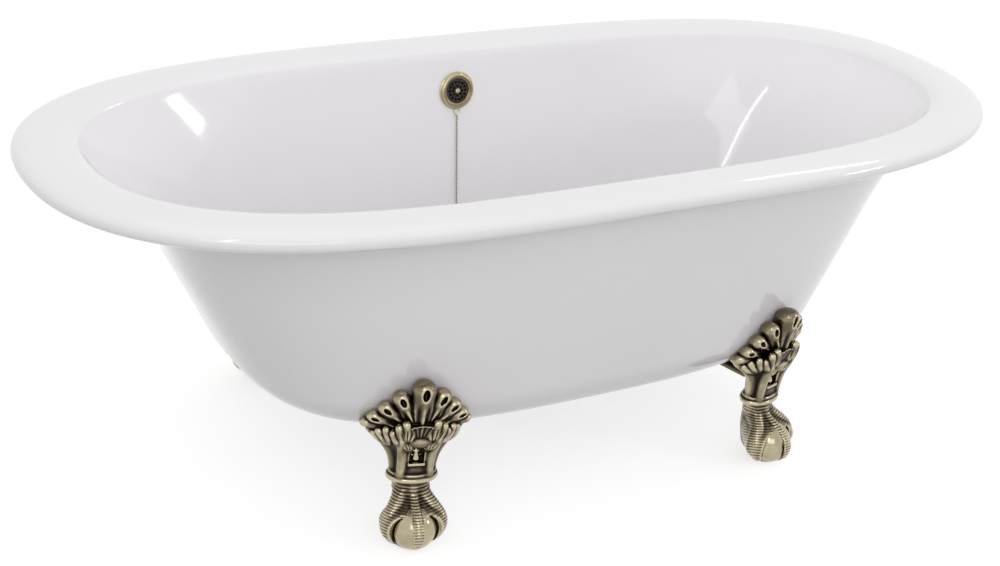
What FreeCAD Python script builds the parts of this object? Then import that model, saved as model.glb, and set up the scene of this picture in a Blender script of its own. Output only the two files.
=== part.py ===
import FreeCAD, Part
import Sketcher
import math
import os

# A double-ended roll-top bath on four cast claw feet, in millimetres.
# +X runs along the bath, +Y points to the side that holds the overflow, +Z is up.
# The origin is on the floor under the middle of the bath.

os.makedirs("parts", exist_ok=True)
Vector = FreeCAD.Vector
Rotation = FreeCAD.Rotation
Placement = FreeCAD.Placement

DRIVING_SIZES = {
    # the whole bath
    "tub_length": 1700,
    "tub_width": 744,
    "tub_height": 574,
    # rolled rim: a flattened tube seen in section
    "rim_end_width": 100,
    "rim_side_width": 88,
    "rim_depth": 38,
    "rim_squareness": 2.4,
    "lip_angle": 55,
    # how square the plan is at its ends and along its sides (2 is an ellipse)
    "rim_end_power": 3.55,
    "rim_side_power": 2.23,
    "rim_power_gain": 0.13,
    "skin_top_power": 2.4,
    "skin_floor_power": 2.96,
    "basin_end_floor_power": 3.0,
    "basin_side_floor_power": 2.9,
    # outer skin
    "skin_thickness": 4,
    "skin_floor_height": 153,
    "skin_end_setback": 142,
    "skin_side_setback": 41,
    "skin_end_lean": 28.7,
    "skin_side_lean": 8.5,
    "skin_end_toe": 143,
    "skin_side_toe": 91,
    "skin_end_flare": 37,
    "skin_flare_depth": 130,
    "flange_fillet": 16,
    # basin, the inner skin
    "liner_thickness": 5,
    "basin_side_lean": 10,
    "basin_end_toe": 130,
    "basin_side_toe": 100,
    "end_wall_space": 22,
    "basin_flare_depth": 150,
    # board between the two floors
    "board_length": 740,
    "board_width": 330,
    "board_thickness": 18,
    "board_corner": 110,
    "glue_gap": 0.4,
    # claw feet
    "foot_spacing_x": 691,
    "foot_spacing_y": 587,
    "foot_turn": 15,
    "ball_radius": 36,
    "ball_flat": 1,
    "leg_set_back": 37,
    "toe_start": 28,
    "toe_end": 118,
    "toe_radius": 9.5,
    "claw_radius": 6,
    "front_toe_reach": 34,
    "side_toe_turn": 88,
    "side_toe_reach": 39,
    "side_toe_radius": 11,
    "heel_radius": 18.5,
    "heel_claw_radius": 15,
    "heel_tuck": 0,
    "heel_clearance": 2,
    "ankle_height": 84,
    "neck_half_width": 29,
    "neck_half_depth": 21,
    "claw_half_width": 50,
    "claw_half_depth": 47,
    "claw_height": 50,
    "claw_set_back": 12,
    "collar_height": 108,
    "collar_half_width": 41,
    "collar_half_depth": 28,
    "collar_thickness": 11,
    "leg_half_width": 33,
    "leg_half_depth": 22,
    "calyx_height": 190,
    "calyx_half_width": 60,
    "calyx_half_depth": 38,
    "calyx_set_back": 36,
    "fan_root_height": 186,
    "fan_root_set_back": 22,
    "fan_height": 286,
    "fan_spread": 80,
    "fan_waist": 0.16,
    "fan_crowding": 1.35,
    "lobe_radius": 17,
    "lobe_end_radius": 9,
    "lobe_root_radius": 8,
    "lobe_stand_off": 1.3,
    "tongue_width": 66,
    "tongue_thickness": 7,
    "tongue_reach": 262,
    "web_thickness": 12,
    "web_length": 90,
    "web_rise": 60,
    "tub_clearance": 0.4,
    # fastenings of the feet
    "bolt_radius": 5,
    "bolt_length": 22,
    "bolt_head_radius": 9.8,
    "bolt_head_height": 6.4,
    "bolt_set_back": 205,
    "bolt_pitch": 32,
    "hole_clearance": 0.6,
    "washer_radius": 12,
    "washer_thickness": 2,
    "insert_radius": 8,
    "insert_length": 14,
    "thread_clearance": 0.1,
    # waste fitting in the floor
    "waste_flange_radius": 35,
    "waste_flange_height": 3,
    "waste_tail_radius": 23.9,
    "waste_bore_radius": 20,
    "waste_seat_radius": 23,
    "waste_seat_depth": 9,
    "waste_tail_end": 55,
    "waste_thread_length": 36,
    "thread_relief": 0.4,
    "gasket_radius": 33,
    "gasket_thickness": 1.5,
    "waste_body_radius": 31,
    "waste_body_height": 47,
    "waste_nut_radius": 34,
    "waste_nut_height": 13,
    "running_clearance": 0.2,
    "spigot_radius": 10,
    "spigot_wall": 2,
    "spigot_length": 34,
    # overflow fitting in the far wall
    "overflow_drop": 76,
    "overflow_radius": 33,
    "overflow_rise": 8,
    "overflow_edge": 2.8,
    "overflow_crest_width": 4,
    "overflow_slope_width": 3,
    "overflow_mouth": 22,
    "overflow_mouth_height": 5.6,
    "overflow_hole": 25,
    "grid_thickness": 2.5,
    "grid_recess": 3,
    "grid_hole_radius": 2.2,
    "grid_outer_circle": 15.5,
    "grid_inner_circle": 8.5,
    "overflow_screw_radius": 4.5,
    "overflow_screw_length": 24,
    "overflow_screw_shank": 2.5,
    "overflow_screw_edge": 1.2,
    "overflow_screw_head": 2.4,
    "elbow_depth": 26,
    "elbow_radius": 30,
    "elbow_wall": 2.5,
    "elbow_tail": 34,
    "elbow_boss_wall": 2,
    "elbow_boss_height": 15.6,
    # hose between the two: its straight ends and the heights of its bends
    "hose_insert": 4,
    "hose_end_run": 46,
    "hose_upper_bend": 147,
    "hose_lower_bend": 85,
    "hose_hole_rise": 37,
    "hose_hole_drop": 23,
    "hose_sweep": 40,
    "hose_radius": 13,
    "hose_clearance": 0.1,
    "clip_thickness": 1.2,
    "clip_width": 9,
    "grommet_wall": 3,
    "grommet_length": 12,
    "grommet_drop": 3,
    # plug and chain
    "plug_radius": 21.5,
    "plug_grip_radius": 17,
    "plug_grip_height": 4,
    "seal_height": 6,
    "seal_depth": 4,
    "seal_clearance": 0.3,
    "plug_post_radius": 3,
    "plug_post_height": 6,
    "ring_radius": 5.5,
    "ring_bite": 0.3,
    "wire_radius": 1,
    "stay_radius": 6.5,
    "stay_height": 2.2,
    "chain_diameter": 3.2,
}

doc = FreeCAD.newDocument("roll_top_bath")
sheet = doc.addObject("Spreadsheet::Sheet", "sizes")
for row, (alias, value) in enumerate(DRIVING_SIZES.items(), start=1):
    sheet.set(f"A{row}", alias)
    sheet.set(f"B{row}", str(value))
    sheet.setAlias(f"B{row}", alias)
doc.recompute()

nodes = []


def size(alias):
    """A driving dimension, read from the sheet."""
    return float(sheet.get(alias))


def value_of(text):
    """The value of a sum of driving sizes, such as 'plug_height + 2 * wire_radius'."""
    total = 0.0
    for term in text.replace("- ", "+ -").split("+"):
        product = 1.0
        for factor in term.split("*"):
            word = factor.strip()
            if word.startswith("-"):
                product = -product
                word = word[1:]
            product *= size(word) if word in DRIVING_SIZES else float(word)
        total += product
    return total


def bound(text):
    """The same sum as an expression on the sheet."""
    return " ".join(f"sizes.{word}" if word in DRIVING_SIZES else word for word in text.split())


def slope(degrees):
    return math.tan(math.radians(degrees))


# ---------------------------------------------------------------- heights and places

rim_middle = size("tub_height") - size("rim_depth") / 2
rim_underside = size("tub_height") - size("rim_depth")
overflow_height = size("tub_height") - size("overflow_drop")
BOARD_BOTTOM = "skin_floor_height + skin_thickness + glue_gap"
BASIN_FLOOR = BOARD_BOTTOM + " + board_thickness + glue_gap + liner_thickness"
FLANGE_BOTTOM = BASIN_FLOOR + " + gasket_thickness"
FLANGE_TOP = FLANGE_BOTTOM + " + waste_flange_height"
skin_floor = size("skin_floor_height")
skin_floor_top = skin_floor + size("skin_thickness")
board_bottom = value_of(BOARD_BOTTOM)
board_top = board_bottom + size("board_thickness")
basin_floor = value_of(BASIN_FLOOR)
basin_floor_back = basin_floor - size("liner_thickness")
flange_top = value_of(FLANGE_TOP)


def toe_inset(height, top, floor, lean, toe):
    """How far a leaning wall stands in from its top: a straight stretch, then an arc to the floor."""
    centre = floor + toe
    tangent = centre - toe * math.sin(math.radians(lean))
    if height >= tangent:
        return (top - height) * slope(lean)
    reach = (top - tangent) * slope(lean) + toe * math.cos(math.radians(lean))
    return reach - math.sqrt(max(toe ** 2 - (height - centre) ** 2, 0))


def flare(height, top, amount, depth):
    """Extra reach near the top, where the wall curves out towards the rim."""
    share = (top - height) / depth
    return amount * (1 - share) ** 2 if share < 1 else 0


def between(low, high, share):
    return low + (high - low) * share


# ---------------------------------------------------------------- plan curves

def plan_ring(half_length, half_width, end_power, side_power, height):
    """One level of the bath: a closed curve on |x/a|^end + |y/b|^side = 1, evenly spaced."""
    fine = 400
    steps = 18
    trace = []
    for i in range(fine + 1):
        angle = math.pi / 2 * i / fine
        x = half_length * max(math.cos(angle), 0) ** (2 / end_power)
        y = half_width * math.sin(angle) ** (2 / side_power)
        trace.append((x if i < fine else 0.0, y))
    quarter = even_points(trace, steps)
    left = [(-x, y) for x, y in quarter[-2::-1]]
    near = [(-x, -y) for x, y in quarter[1:]]
    right = [(x, -y) for x, y in quarter[-2:0:-1]]
    loop = [Vector(x, y, height) for x, y in quarter + left + near + right]
    curve = Part.BSplineCurve()
    knots = [float(i) for i in range(len(loop) + 1)]
    curve.interpolate(Points=loop, PeriodicFlag=True, Parameters=knots)
    return Part.Wire([curve.toShape()])


def even_points(trace, steps):
    """Points at equal distances along a finely traced line."""
    run = [0.0]
    for start, end in zip(trace, trace[1:]):
        run.append(run[-1] + math.dist(start, end))
    points = []
    index = 0
    for step in range(steps + 1):
        distance = run[-1] * step / steps
        while index < len(run) - 2 and run[index + 1] < distance:
            index += 1
        share = (distance - run[index]) / (run[index + 1] - run[index])
        points.append(tuple(between(p, q, share) for p, q in zip(trace[index], trace[index + 1])))
    return points


def signed_power(value, power):
    return math.copysign(abs(value) ** power, value)


def rim_ring(angle, inside=0):
    """The rolled rim at an angle round its section: 0 outermost, 90 crest, 180 inner edge."""
    power = 2 / size("rim_squareness")
    across = signed_power(math.cos(math.radians(angle)), power)
    up = signed_power(math.sin(math.radians(angle)), power)
    end_half = size("rim_end_width") / 2
    side_half = size("rim_side_width") / 2
    end_offset = end_half - (end_half - inside) * across
    side_offset = side_half - (side_half - inside) * across
    height = rim_middle + (size("rim_depth") / 2 - inside) * up
    share = side_offset / size("rim_side_width")
    return plan_ring(
        size("tub_length") / 2 - end_offset,
        size("tub_width") / 2 - side_offset,
        size("rim_end_power"),
        size("rim_side_power") + size("rim_power_gain") * share,
        height,
    )


def skin_halves(height, inside=0):
    """Half length and half width of the outer skin's face, or of a face inside it."""
    floor = skin_floor + inside
    end_inset = toe_inset(height, rim_underside, floor, size("skin_end_lean"),
                          size("skin_end_toe") - inside)
    side_inset = toe_inset(height, rim_underside, floor, size("skin_side_lean"),
                           size("skin_side_toe") - inside)
    end_flare = flare(height, rim_underside, size("skin_end_flare"), size("skin_flare_depth"))
    end_wall = inside / math.cos(math.radians(size("skin_end_lean")))
    side_wall = inside / math.cos(math.radians(size("skin_side_lean")))
    end_half = size("tub_length") / 2 - size("skin_end_setback") - end_inset + end_flare - end_wall
    side_half = size("tub_width") / 2 - size("skin_side_setback") - side_inset - side_wall
    return end_half, side_half


def skin_power(height):
    share = (height - skin_floor) / (rim_underside - skin_floor)
    return between(size("skin_floor_power"), size("skin_top_power"), share)


def skin_ring(height, inside=0, outwards=0):
    end_half, side_half = skin_halves(height, inside)
    power = skin_power(height)
    return plan_ring(end_half + outwards, side_half + outwards, power, power, height)


def basin_halves(height, outside=0):
    """Half length and half width of the basin's face, or of a face behind it."""
    floor = basin_floor - outside
    rim_end = size("tub_length") / 2 - size("rim_end_width")
    rim_side = size("tub_width") / 2 - size("rim_side_width")
    line_end = (size("tub_length") / 2 - size("skin_end_setback") - size("end_wall_space")
                + size("rim_depth") / 2 * slope(size("skin_end_lean")))
    end_inset = toe_inset(height, rim_middle, floor, size("skin_end_lean"),
                          size("basin_end_toe") + outside)
    side_inset = toe_inset(height, rim_middle, floor, size("basin_side_lean"),
                           size("basin_side_toe") + outside)
    end_flare = flare(height, rim_middle, rim_end - line_end, size("basin_flare_depth"))
    end_wall = outside / math.cos(math.radians(size("skin_end_lean")))
    return line_end - end_inset + end_flare + end_wall, rim_side - side_inset + outside


def basin_ring(height, outside=0):
    end_half, side_half = basin_halves(height, outside)
    share = (height - basin_floor) / (rim_middle - basin_floor)
    end_power = between(size("basin_end_floor_power"), size("rim_end_power"), share)
    side_power = between(size("basin_side_floor_power"),
                         size("rim_side_power") + size("rim_power_gain"), share)
    return plan_ring(end_half, side_half, end_power, side_power, height)


def toe_levels(floor, toe):
    """Heights down the bend at the foot of a wall, ten degrees apart."""
    return [floor + toe * (1 - math.cos(math.radians(angle))) for angle in range(60, -1, -10)]


def wall_levels(top, floor, toe, flare_depth):
    """Heights from the top to the floor, close together where the wall bends."""
    flare_steps = [top - flare_depth * share for share in (0.04, 0.12, 0.24, 0.4, 0.6, 0.8, 1.0)]
    toe_steps = toe_levels(floor, toe)
    middle = (flare_steps[-1] + toe_steps[0]) / 2
    return flare_steps + [middle] + toe_steps


# ---------------------------------------------------------------- helpers for solids

def add_shape(label, shape, keep=True):
    feature = doc.addObject("Part::Feature", label)
    feature.Label = label
    feature.Shape = shape
    if keep:
        nodes.append(feature)
    return feature


def skin_solid(front, back):
    """A thin skin between a finished side and a back side, each a stack of plan curves."""
    faces = Part.makeLoft(front, False, True).Faces
    faces += Part.makeLoft(back, False, True).Faces
    faces += Part.makeLoft([front[0], back[0]], False, True).Faces
    faces += [Part.Face(front[-1]), Part.Face(back[-1])]
    shell = Part.makeShell(faces)
    shell.sewShape()
    solid = Part.makeSolid(shell.Shells[0])
    if solid.Volume < 0:
        solid.reverse()
    return solid


def cylinder(radius, bottom, top, x=0, y=0):
    return Part.makeCylinder(radius, top - bottom, Vector(x, y, bottom))


def foot_frames():
    """Each foot's name and the placement of its own frame: its -Y axis points out of the bath."""
    half_x = size("foot_spacing_x") / 2
    half_y = size("foot_spacing_y") / 2
    turn = size("foot_turn")
    turns = {
        "foot_front_left": (-half_x, -half_y, -turn),
        "foot_front_right": (half_x, -half_y, turn),
        "foot_back_right": (half_x, half_y, 180 - turn),
        "foot_back_left": (-half_x, half_y, 180 + turn),
    }
    up = Vector(0, 0, 1)
    return {name: Placement(Vector(x, y, 0), Rotation(up, angle))
            for name, (x, y, angle) in turns.items()}


def bolt_places():
    """Where the bolts stand, two behind each other in each foot's tongue."""
    places = []
    for frame in foot_frames().values():
        for step in range(2):
            places.append(frame.multVec(Vector(0, size("bolt_set_back") + step * size("bolt_pitch"), 0)))
    return places


def overflow_frame():
    """Frame on the far wall at the overflow: +Z points out of the wall into the basin."""
    side_half = basin_halves(overflow_height)[1]
    tilt = Rotation(Vector(1, 0, 0), 90 - size("basin_side_lean"))
    return Placement(Vector(0, side_half, overflow_height), tilt)


def moved(shape, frame):
    copy = shape.copy()
    copy.Placement = frame.multiply(copy.Placement)
    return copy


hose_hole_y = skin_halves(skin_floor + size("skin_thickness"))[1] + size("hose_radius")


# ---------------------------------------------------------------- the two skins and the board

def make_liner():
    """Basin and rolled rim in one moulded skin, open along the rim's lower lip."""
    wall = size("liner_thickness")
    angles = [-size("lip_angle") + (180 + size("lip_angle")) * i / 16 for i in range(17)]
    levels = wall_levels(rim_middle, basin_floor, size("basin_end_toe"), size("basin_flare_depth"))
    back_levels = wall_levels(rim_middle, basin_floor_back, size("basin_end_toe") + wall,
                              size("basin_flare_depth"))
    front = [rim_ring(angle) for angle in angles] + [basin_ring(level) for level in levels]
    back = [rim_ring(angle, wall) for angle in angles] + [basin_ring(level, wall) for level in back_levels]
    solid = skin_solid(front, back)
    reach = size("overflow_radius")
    overflow_hole = Part.makeCylinder(size("overflow_hole"), 2 * reach, Vector(0, 0, -reach))
    waste_hole = cylinder(size("waste_tail_radius") + size("hole_clearance"), skin_floor, rim_middle)
    return add_shape("bath_liner", solid.cut([moved(overflow_hole, overflow_frame()), waste_hole]))


def flange_edge(raised):
    """The outer skin's top edge, which lies just inside the rim's lip all round."""
    lip = math.radians(size("lip_angle"))
    power = 2 / size("rim_squareness")
    across = math.cos(lip) ** power
    inside = size("liner_thickness") + size("glue_gap")
    end_half = size("rim_end_width") / 2
    side_half = size("rim_side_width") / 2
    height = rim_middle - size("rim_depth") / 2 * math.sin(lip) ** power
    return plan_ring(size("tub_length") / 2 - end_half + (end_half - inside) * across,
                     size("tub_width") / 2 - side_half + (side_half - inside) * across,
                     size("rim_end_power"), size("rim_side_power"), height + raised)


def make_outer_skin():
    """Outer skin: floor, leaning wall and an out-turned flange that closes the rim from below."""
    wall = size("skin_thickness")
    fillet = size("flange_fillet")
    levels = wall_levels(rim_underside - fillet, skin_floor, size("skin_end_toe"),
                         size("skin_flare_depth") - fillet)
    back_levels = wall_levels(rim_underside - fillet, skin_floor_top, size("skin_end_toe") - wall,
                              size("skin_flare_depth") - fillet)
    bends = [90 - 22.5 * i for i in range(5)]
    front = [flange_edge(0)]
    back = [flange_edge(wall)]
    for bend in bends:
        turn = math.radians(bend)
        front.append(skin_ring(rim_underside - fillet * (1 - math.sin(turn)), 0,
                               fillet * (1 - math.cos(turn))))
        back.append(skin_ring(rim_underside - fillet + (fillet + wall) * math.sin(turn), 0,
                              fillet - (fillet + wall) * math.cos(turn)))
    front += [skin_ring(level) for level in levels]
    back += [skin_ring(level, wall) for level in back_levels]
    solid = skin_solid(front, back)
    holes = [cylinder(size("waste_tail_radius") + size("hole_clearance"), 0, board_top)]
    holes.append(cylinder(size("hose_radius") + size("grommet_wall"), 0, rim_middle, 0, hose_hole_y))
    for place in bolt_places():
        holes.append(cylinder(size("bolt_radius") + size("hole_clearance"), 0, board_top, place.x, place.y))
    return add_shape("outer_skin", solid.cut(holes))


# ---------------------------------------------------------------- helpers for bodies

def new_body(label):
    body = doc.addObject("PartDesign::Body", label)
    body.Label = label
    nodes.append(body)
    return body


def new_sketch(body, plane, name):
    sketch = body.newObject("Sketcher::SketchObject", name)
    origin_plane = next(f for f in body.Origin.OriginFeatures if f.Role == plane)
    sketch.AttachmentSupport = [(origin_plane, "")]
    sketch.MapMode = "FlatFace"
    return sketch


def fix_point(sketch, line, x_text, y_text):
    """Holds a line's first end at a place made of driving sizes."""
    for kind, axis, text in (("DistanceX", -2, x_text), ("DistanceY", -1, y_text)):
        value = value_of(text)
        if value == 0:
            sketch.addConstraint(Sketcher.Constraint("PointOnObject", line, 1, axis))
        else:
            index = sketch.addConstraint(Sketcher.Constraint(kind, -1, 1, line, 1, value))
            sketch.setExpression(f"Constraints[{index}]", bound(text))


def closed_outline(sketch, corners):
    """Straight sides through corners given as pairs of texts."""
    points = [Vector(value_of(x), value_of(y), 0) for x, y in corners]
    lines = [sketch.addGeometry(Part.LineSegment(start, end), False)
             for start, end in zip(points, points[1:] + points[:1])]
    for line, following in zip(lines, lines[1:] + lines[:1]):
        sketch.addConstraint(Sketcher.Constraint("Coincident", line, 2, following, 1))
    for line, (x, y) in zip(lines, corners):
        fix_point(sketch, line, x, y)


def pad_sketch(body, sketch, name, length):
    pad = body.newObject("PartDesign::Pad", name)
    pad.Profile = sketch
    pad.setExpression("Length", bound(length))
    return pad


def cut_holes(body, holes, name, depth):
    """Round holes upwards from the body's base plane: places with radii as texts."""
    sketch = new_sketch(body, "XY_Plane", name + "_places")
    for x, y, radius in holes:
        circle = sketch.addGeometry(Part.Circle(Vector(x, y, 0), Vector(0, 0, 1), value_of(radius)), False)
        for kind, value in (("DistanceX", x), ("DistanceY", y)):
            if abs(value) > 0:
                sketch.addConstraint(Sketcher.Constraint(kind, -1, 1, circle, 3, value))
            else:
                axis = -2 if kind == "DistanceX" else -1
                sketch.addConstraint(Sketcher.Constraint("PointOnObject", circle, 3, axis))
        index = sketch.addConstraint(Sketcher.Constraint("Radius", circle, value_of(radius)))
        sketch.setExpression(f"Constraints[{index}]", bound(radius))
    pocket = body.newObject("PartDesign::Pocket", name)
    pocket.Profile = sketch
    pocket.Reversed = True
    pocket.setExpression("Length", bound(depth))
    return pocket


def turned_body(label, corners, frame):
    """A turned piece: half section as (radius, height) texts, spun round its own Z axis."""
    body = new_body(label)
    sketch = new_sketch(body, "XZ_Plane", label + "_section")
    closed_outline(sketch, corners)
    turn = body.newObject("PartDesign::Revolution", label + "_turn")
    turn.Profile = sketch
    turn.ReferenceAxis = (sketch, ["V_Axis"])
    turn.Angle = 360
    body.Placement = frame
    return body


def upright(height, y=0):
    return Placement(Vector(0, y, height), Rotation())


def in_wall(height):
    """A frame raised from the far wall's face at the overflow."""
    return overflow_frame().multiply(Placement(Vector(0, 0, height), Rotation()))


def rod(name, radius, height, frame):
    item = doc.addObject("Part::Cylinder", name)
    item.setExpression("Radius", bound(radius))
    item.setExpression("Height", bound(height))
    item.Placement = frame
    return item


def fused(name, members):
    item = doc.addObject("Part::MultiFuse", name)
    item.Shapes = members
    return item


def cut_from(label, base, tool, keep=True):
    item = doc.addObject("Part::Cut", label)
    item.Label = label
    item.Base = base
    item.Tool = tool
    if keep:
        nodes.append(item)
    return item


def group_of(label, members):
    item = doc.addObject("Part::Compound", label)
    item.Label = label
    item.Links = members
    nodes.append(item)
    return item


# ---------------------------------------------------------------- board

def make_board():
    """The board that stiffens the floor and takes the feet's bolts, with its corners rounded."""
    body = new_body("floor_board")
    sketch = new_sketch(body, "XY_Plane", "board_outline")
    left, right = "-0.5 * board_length", "0.5 * board_length"
    near, far = "-0.5 * board_width", "0.5 * board_width"
    closed_outline(sketch, [(right, far), (left, far), (left, near), (right, near)])
    pad = pad_sketch(body, sketch, "board_pad", "board_thickness")
    doc.recompute()
    corners = [f"Edge{i}" for i, edge in enumerate(pad.Shape.Edges, start=1)
               if abs(edge.Vertexes[0].Z - edge.Vertexes[-1].Z) > size("board_thickness") / 2]
    rounding = body.newObject("PartDesign::Fillet", "board_corners")
    rounding.Base = (pad, corners)
    rounding.setExpression("Radius", bound("board_corner"))
    holes = [(0, 0, "waste_tail_radius + hole_clearance")]
    holes += [(place.x, place.y, "insert_radius") for place in bolt_places()]
    cut_holes(body, holes, "board_holes", "board_thickness")
    body.Placement = upright(board_bottom)


# ---------------------------------------------------------------- claw feet

def oval(half_width, half_depth, height, back):
    """A level oval outline in a foot's frame."""
    ring = Part.Ellipse(Vector(), half_width, half_depth).toShape()
    ring.Placement = Placement(Vector(0, back, height), Rotation())
    return Part.Wire([ring])


def flared(narrow, wide, power):
    """A smooth limb between two ovals, each (half width, half depth, height, set back)."""
    steps = 4
    rings = []
    for step in range(steps + 1):
        share = step / steps
        half_width, half_depth, height, back = (
            between(low, high, share ** power) for low, high in zip(narrow, wide))
        rings.append(oval(half_width, half_depth, between(narrow[2], wide[2], share), back))
    return Part.makeLoft(rings, True, False)


def bead(half_width, half_depth, thickness, height, back):
    """A rounded oval ring round the leg."""
    rings = []
    for angle in range(-60, 61, 30):
        bulge = thickness / 2 * math.cos(math.radians(angle))
        rise = thickness / 2 * math.sin(math.radians(angle))
        rings.append(oval(half_width - thickness / 2 + bulge, half_depth - thickness / 2 + bulge,
                          height + rise, back))
    return Part.makeLoft(rings, True, False)


def limb(joints):
    """Round knuckles joined by tapered lengths: each joint is (place, radius)."""
    pieces = [Part.makeSphere(radius, place) for place, radius in joints]
    for (start, start_radius), (end, end_radius) in zip(joints, joints[1:]):
        pieces.append(Part.makeCone(start_radius, end_radius, start.distanceToPoint(end),
                                    start, end - start))
    return pieces[0].fuse(pieces[1:])


def toe(direction, reach, thick, thin):
    """One toe, bent over the ball from its top to below its middle; 0 points out of the bath."""
    centre = Vector(0, 0, size("ball_radius") - size("ball_flat"))
    outward = Rotation(Vector(0, 0, 1), direction).multVec(Vector(0, -1, 0))
    knuckles = 3
    joints = []
    for step in range(knuckles + 1):
        share = step / knuckles
        down = math.radians(between(size("toe_start"), size("toe_end"), share))
        place = centre + outward * (reach * math.sin(down)) + Vector(0, 0, reach * math.cos(down))
        joints.append((place, between(thick, thin, share)))
    return limb(joints)


def heel():
    """The back claw, which stands upright behind the ball."""
    back = size("leg_set_back")
    thick = size("heel_radius")
    return limb([
        (Vector(0, back, size("ankle_height")), size("neck_half_depth")),
        (Vector(0, back, size("ball_radius")), thick),
        (Vector(0, back - size("heel_tuck"), size("heel_claw_radius") + size("heel_clearance")),
         size("heel_claw_radius")),
    ])


def skin_distance(frame, across, height):
    """How far behind a foot's origin the outer skin lies, at a place across the foot and up."""
    half_length, half_width = skin_halves(height)
    power = skin_power(height)
    near = 0
    far = size("tub_width") / 2
    for _ in range(24):
        middle = (near + far) / 2
        place = frame.multVec(Vector(across, middle, 0))
        if (abs(place.x) / half_length) ** power + (abs(place.y) / half_width) ** power < 1:
            far = middle
        else:
            near = middle
    return far


def make_fan(frame):
    """Round-ended lobes spread over the skin's face, crowding together towards the sides."""
    root = Vector(0, size("fan_root_set_back"), size("fan_root_height"))
    rise = size("fan_height") - size("fan_root_height") - size("lobe_radius")
    pairs = 4
    lobes = []
    for step in range(-pairs, pairs + 1):
        share = abs(step) / pairs
        angle = size("fan_spread") * (1 - (1 - share) ** size("fan_crowding"))
        turn = math.radians(math.copysign(angle, step))
        reach = rise * (1 - size("fan_waist") * math.sin(2 * abs(turn)))
        radius = between(size("lobe_radius"), size("lobe_end_radius"), share ** 0.6)
        across = reach * math.sin(turn)
        height = root.z + reach * math.cos(turn)
        back = skin_distance(frame, across, height) - size("lobe_stand_off") * radius
        lobes.append(limb([(root, size("lobe_root_radius")), (Vector(across, back, height), radius)]))
    return lobes


def make_foot(frame):
    """A cast foot in its own frame: ball on the floor at the origin, -Y out of the bath."""
    radius = size("ball_radius")
    back = size("leg_set_back")
    collar = size("collar_height")
    neck_oval = (size("neck_half_width"), size("neck_half_depth"))
    parts = [Part.makeSphere(radius, Vector(0, 0, radius - size("ball_flat")))]
    parts.append(toe(0, size("front_toe_reach"), size("toe_radius"), size("claw_radius")))
    for side in (-1, 1):
        parts.append(toe(side * size("side_toe_turn"), size("side_toe_reach"),
                         size("side_toe_radius"), size("claw_radius")))
    parts.append(heel())
    claw_oval = (size("claw_half_width"), size("claw_half_depth"))
    parts.append(flared((*neck_oval, collar, back),
                        (*claw_oval, size("claw_height"), size("claw_set_back")), 2.2))
    parts.append(bead(size("collar_half_width"), size("collar_half_depth"), size("collar_thickness"),
                      collar, back))
    leg_oval = (size("leg_half_width"), size("leg_half_depth"))
    calyx_oval = (size("calyx_half_width"), size("calyx_half_depth"))
    parts.append(flared((*leg_oval, collar, back),
                        (*calyx_oval, size("calyx_height"), size("calyx_set_back")), 3))
    parts += make_fan(frame)
    # bracket that runs back under the bath's floor, with a web up to the leg
    thick = size("tongue_thickness")
    width = size("tongue_width")
    web = size("web_thickness")
    web_end = back + size("web_length")
    web_top = skin_floor + size("web_rise")
    parts.append(Part.makeBox(width, size("tongue_reach") - back, thick,
                              Vector(-width / 2, back, skin_floor - thick)))
    corners = [Vector(-web / 2, back, skin_floor - thick), Vector(-web / 2, web_end, skin_floor - thick),
               Vector(-web / 2, web_end, web_top), Vector(-web / 2, back, web_top)]
    outline = Part.makePolygon(corners + corners[:1])
    parts.append(Part.Face(outline).extrude(Vector(web, 0, 0)))
    solid = parts[0].fuse(parts[1:])
    below = 2 * radius
    floor_cut = Part.makeBox(4 * below, 4 * below, below, Vector(-2 * below, -2 * below, -below))
    holes = [cylinder(size("bolt_radius") + size("hole_clearance"), skin_floor - 2 * thick,
                      skin_floor + thick, 0, size("bolt_set_back") + step * size("bolt_pitch"))
             for step in range(2)]
    return solid.cut([floor_cut] + holes)


def bath_body(grown):
    """The outer skin's outside as one solid, grown a little, to shape the feet's backs."""
    toe_top = toe_levels(skin_floor, size("skin_end_toe"))
    fan_top = size("fan_height") + 2 * size("lobe_radius")
    above = [between(fan_top, toe_top[0], share) for share in (0, 0.4, 0.75)]
    rings = [skin_ring(level, 0, grown) for level in above + toe_top]
    return Part.makeLoft(rings, True, True)


def make_feet():
    frame = foot_frames()["foot_front_right"]
    fitted = moved(make_foot(frame), frame).cut(bath_body(size("tub_clearance")))
    fitted = max(fitted.Solids, key=lambda solid: solid.Volume)
    flip_x = fitted.mirror(Vector(), Vector(1, 0, 0))
    flip_y = fitted.mirror(Vector(), Vector(0, 1, 0))
    add_shape("foot_front_right", fitted)
    add_shape("foot_front_left", flip_x)
    add_shape("foot_back_right", flip_y)
    add_shape("foot_back_left", flip_x.mirror(Vector(), Vector(0, 1, 0)))


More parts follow.
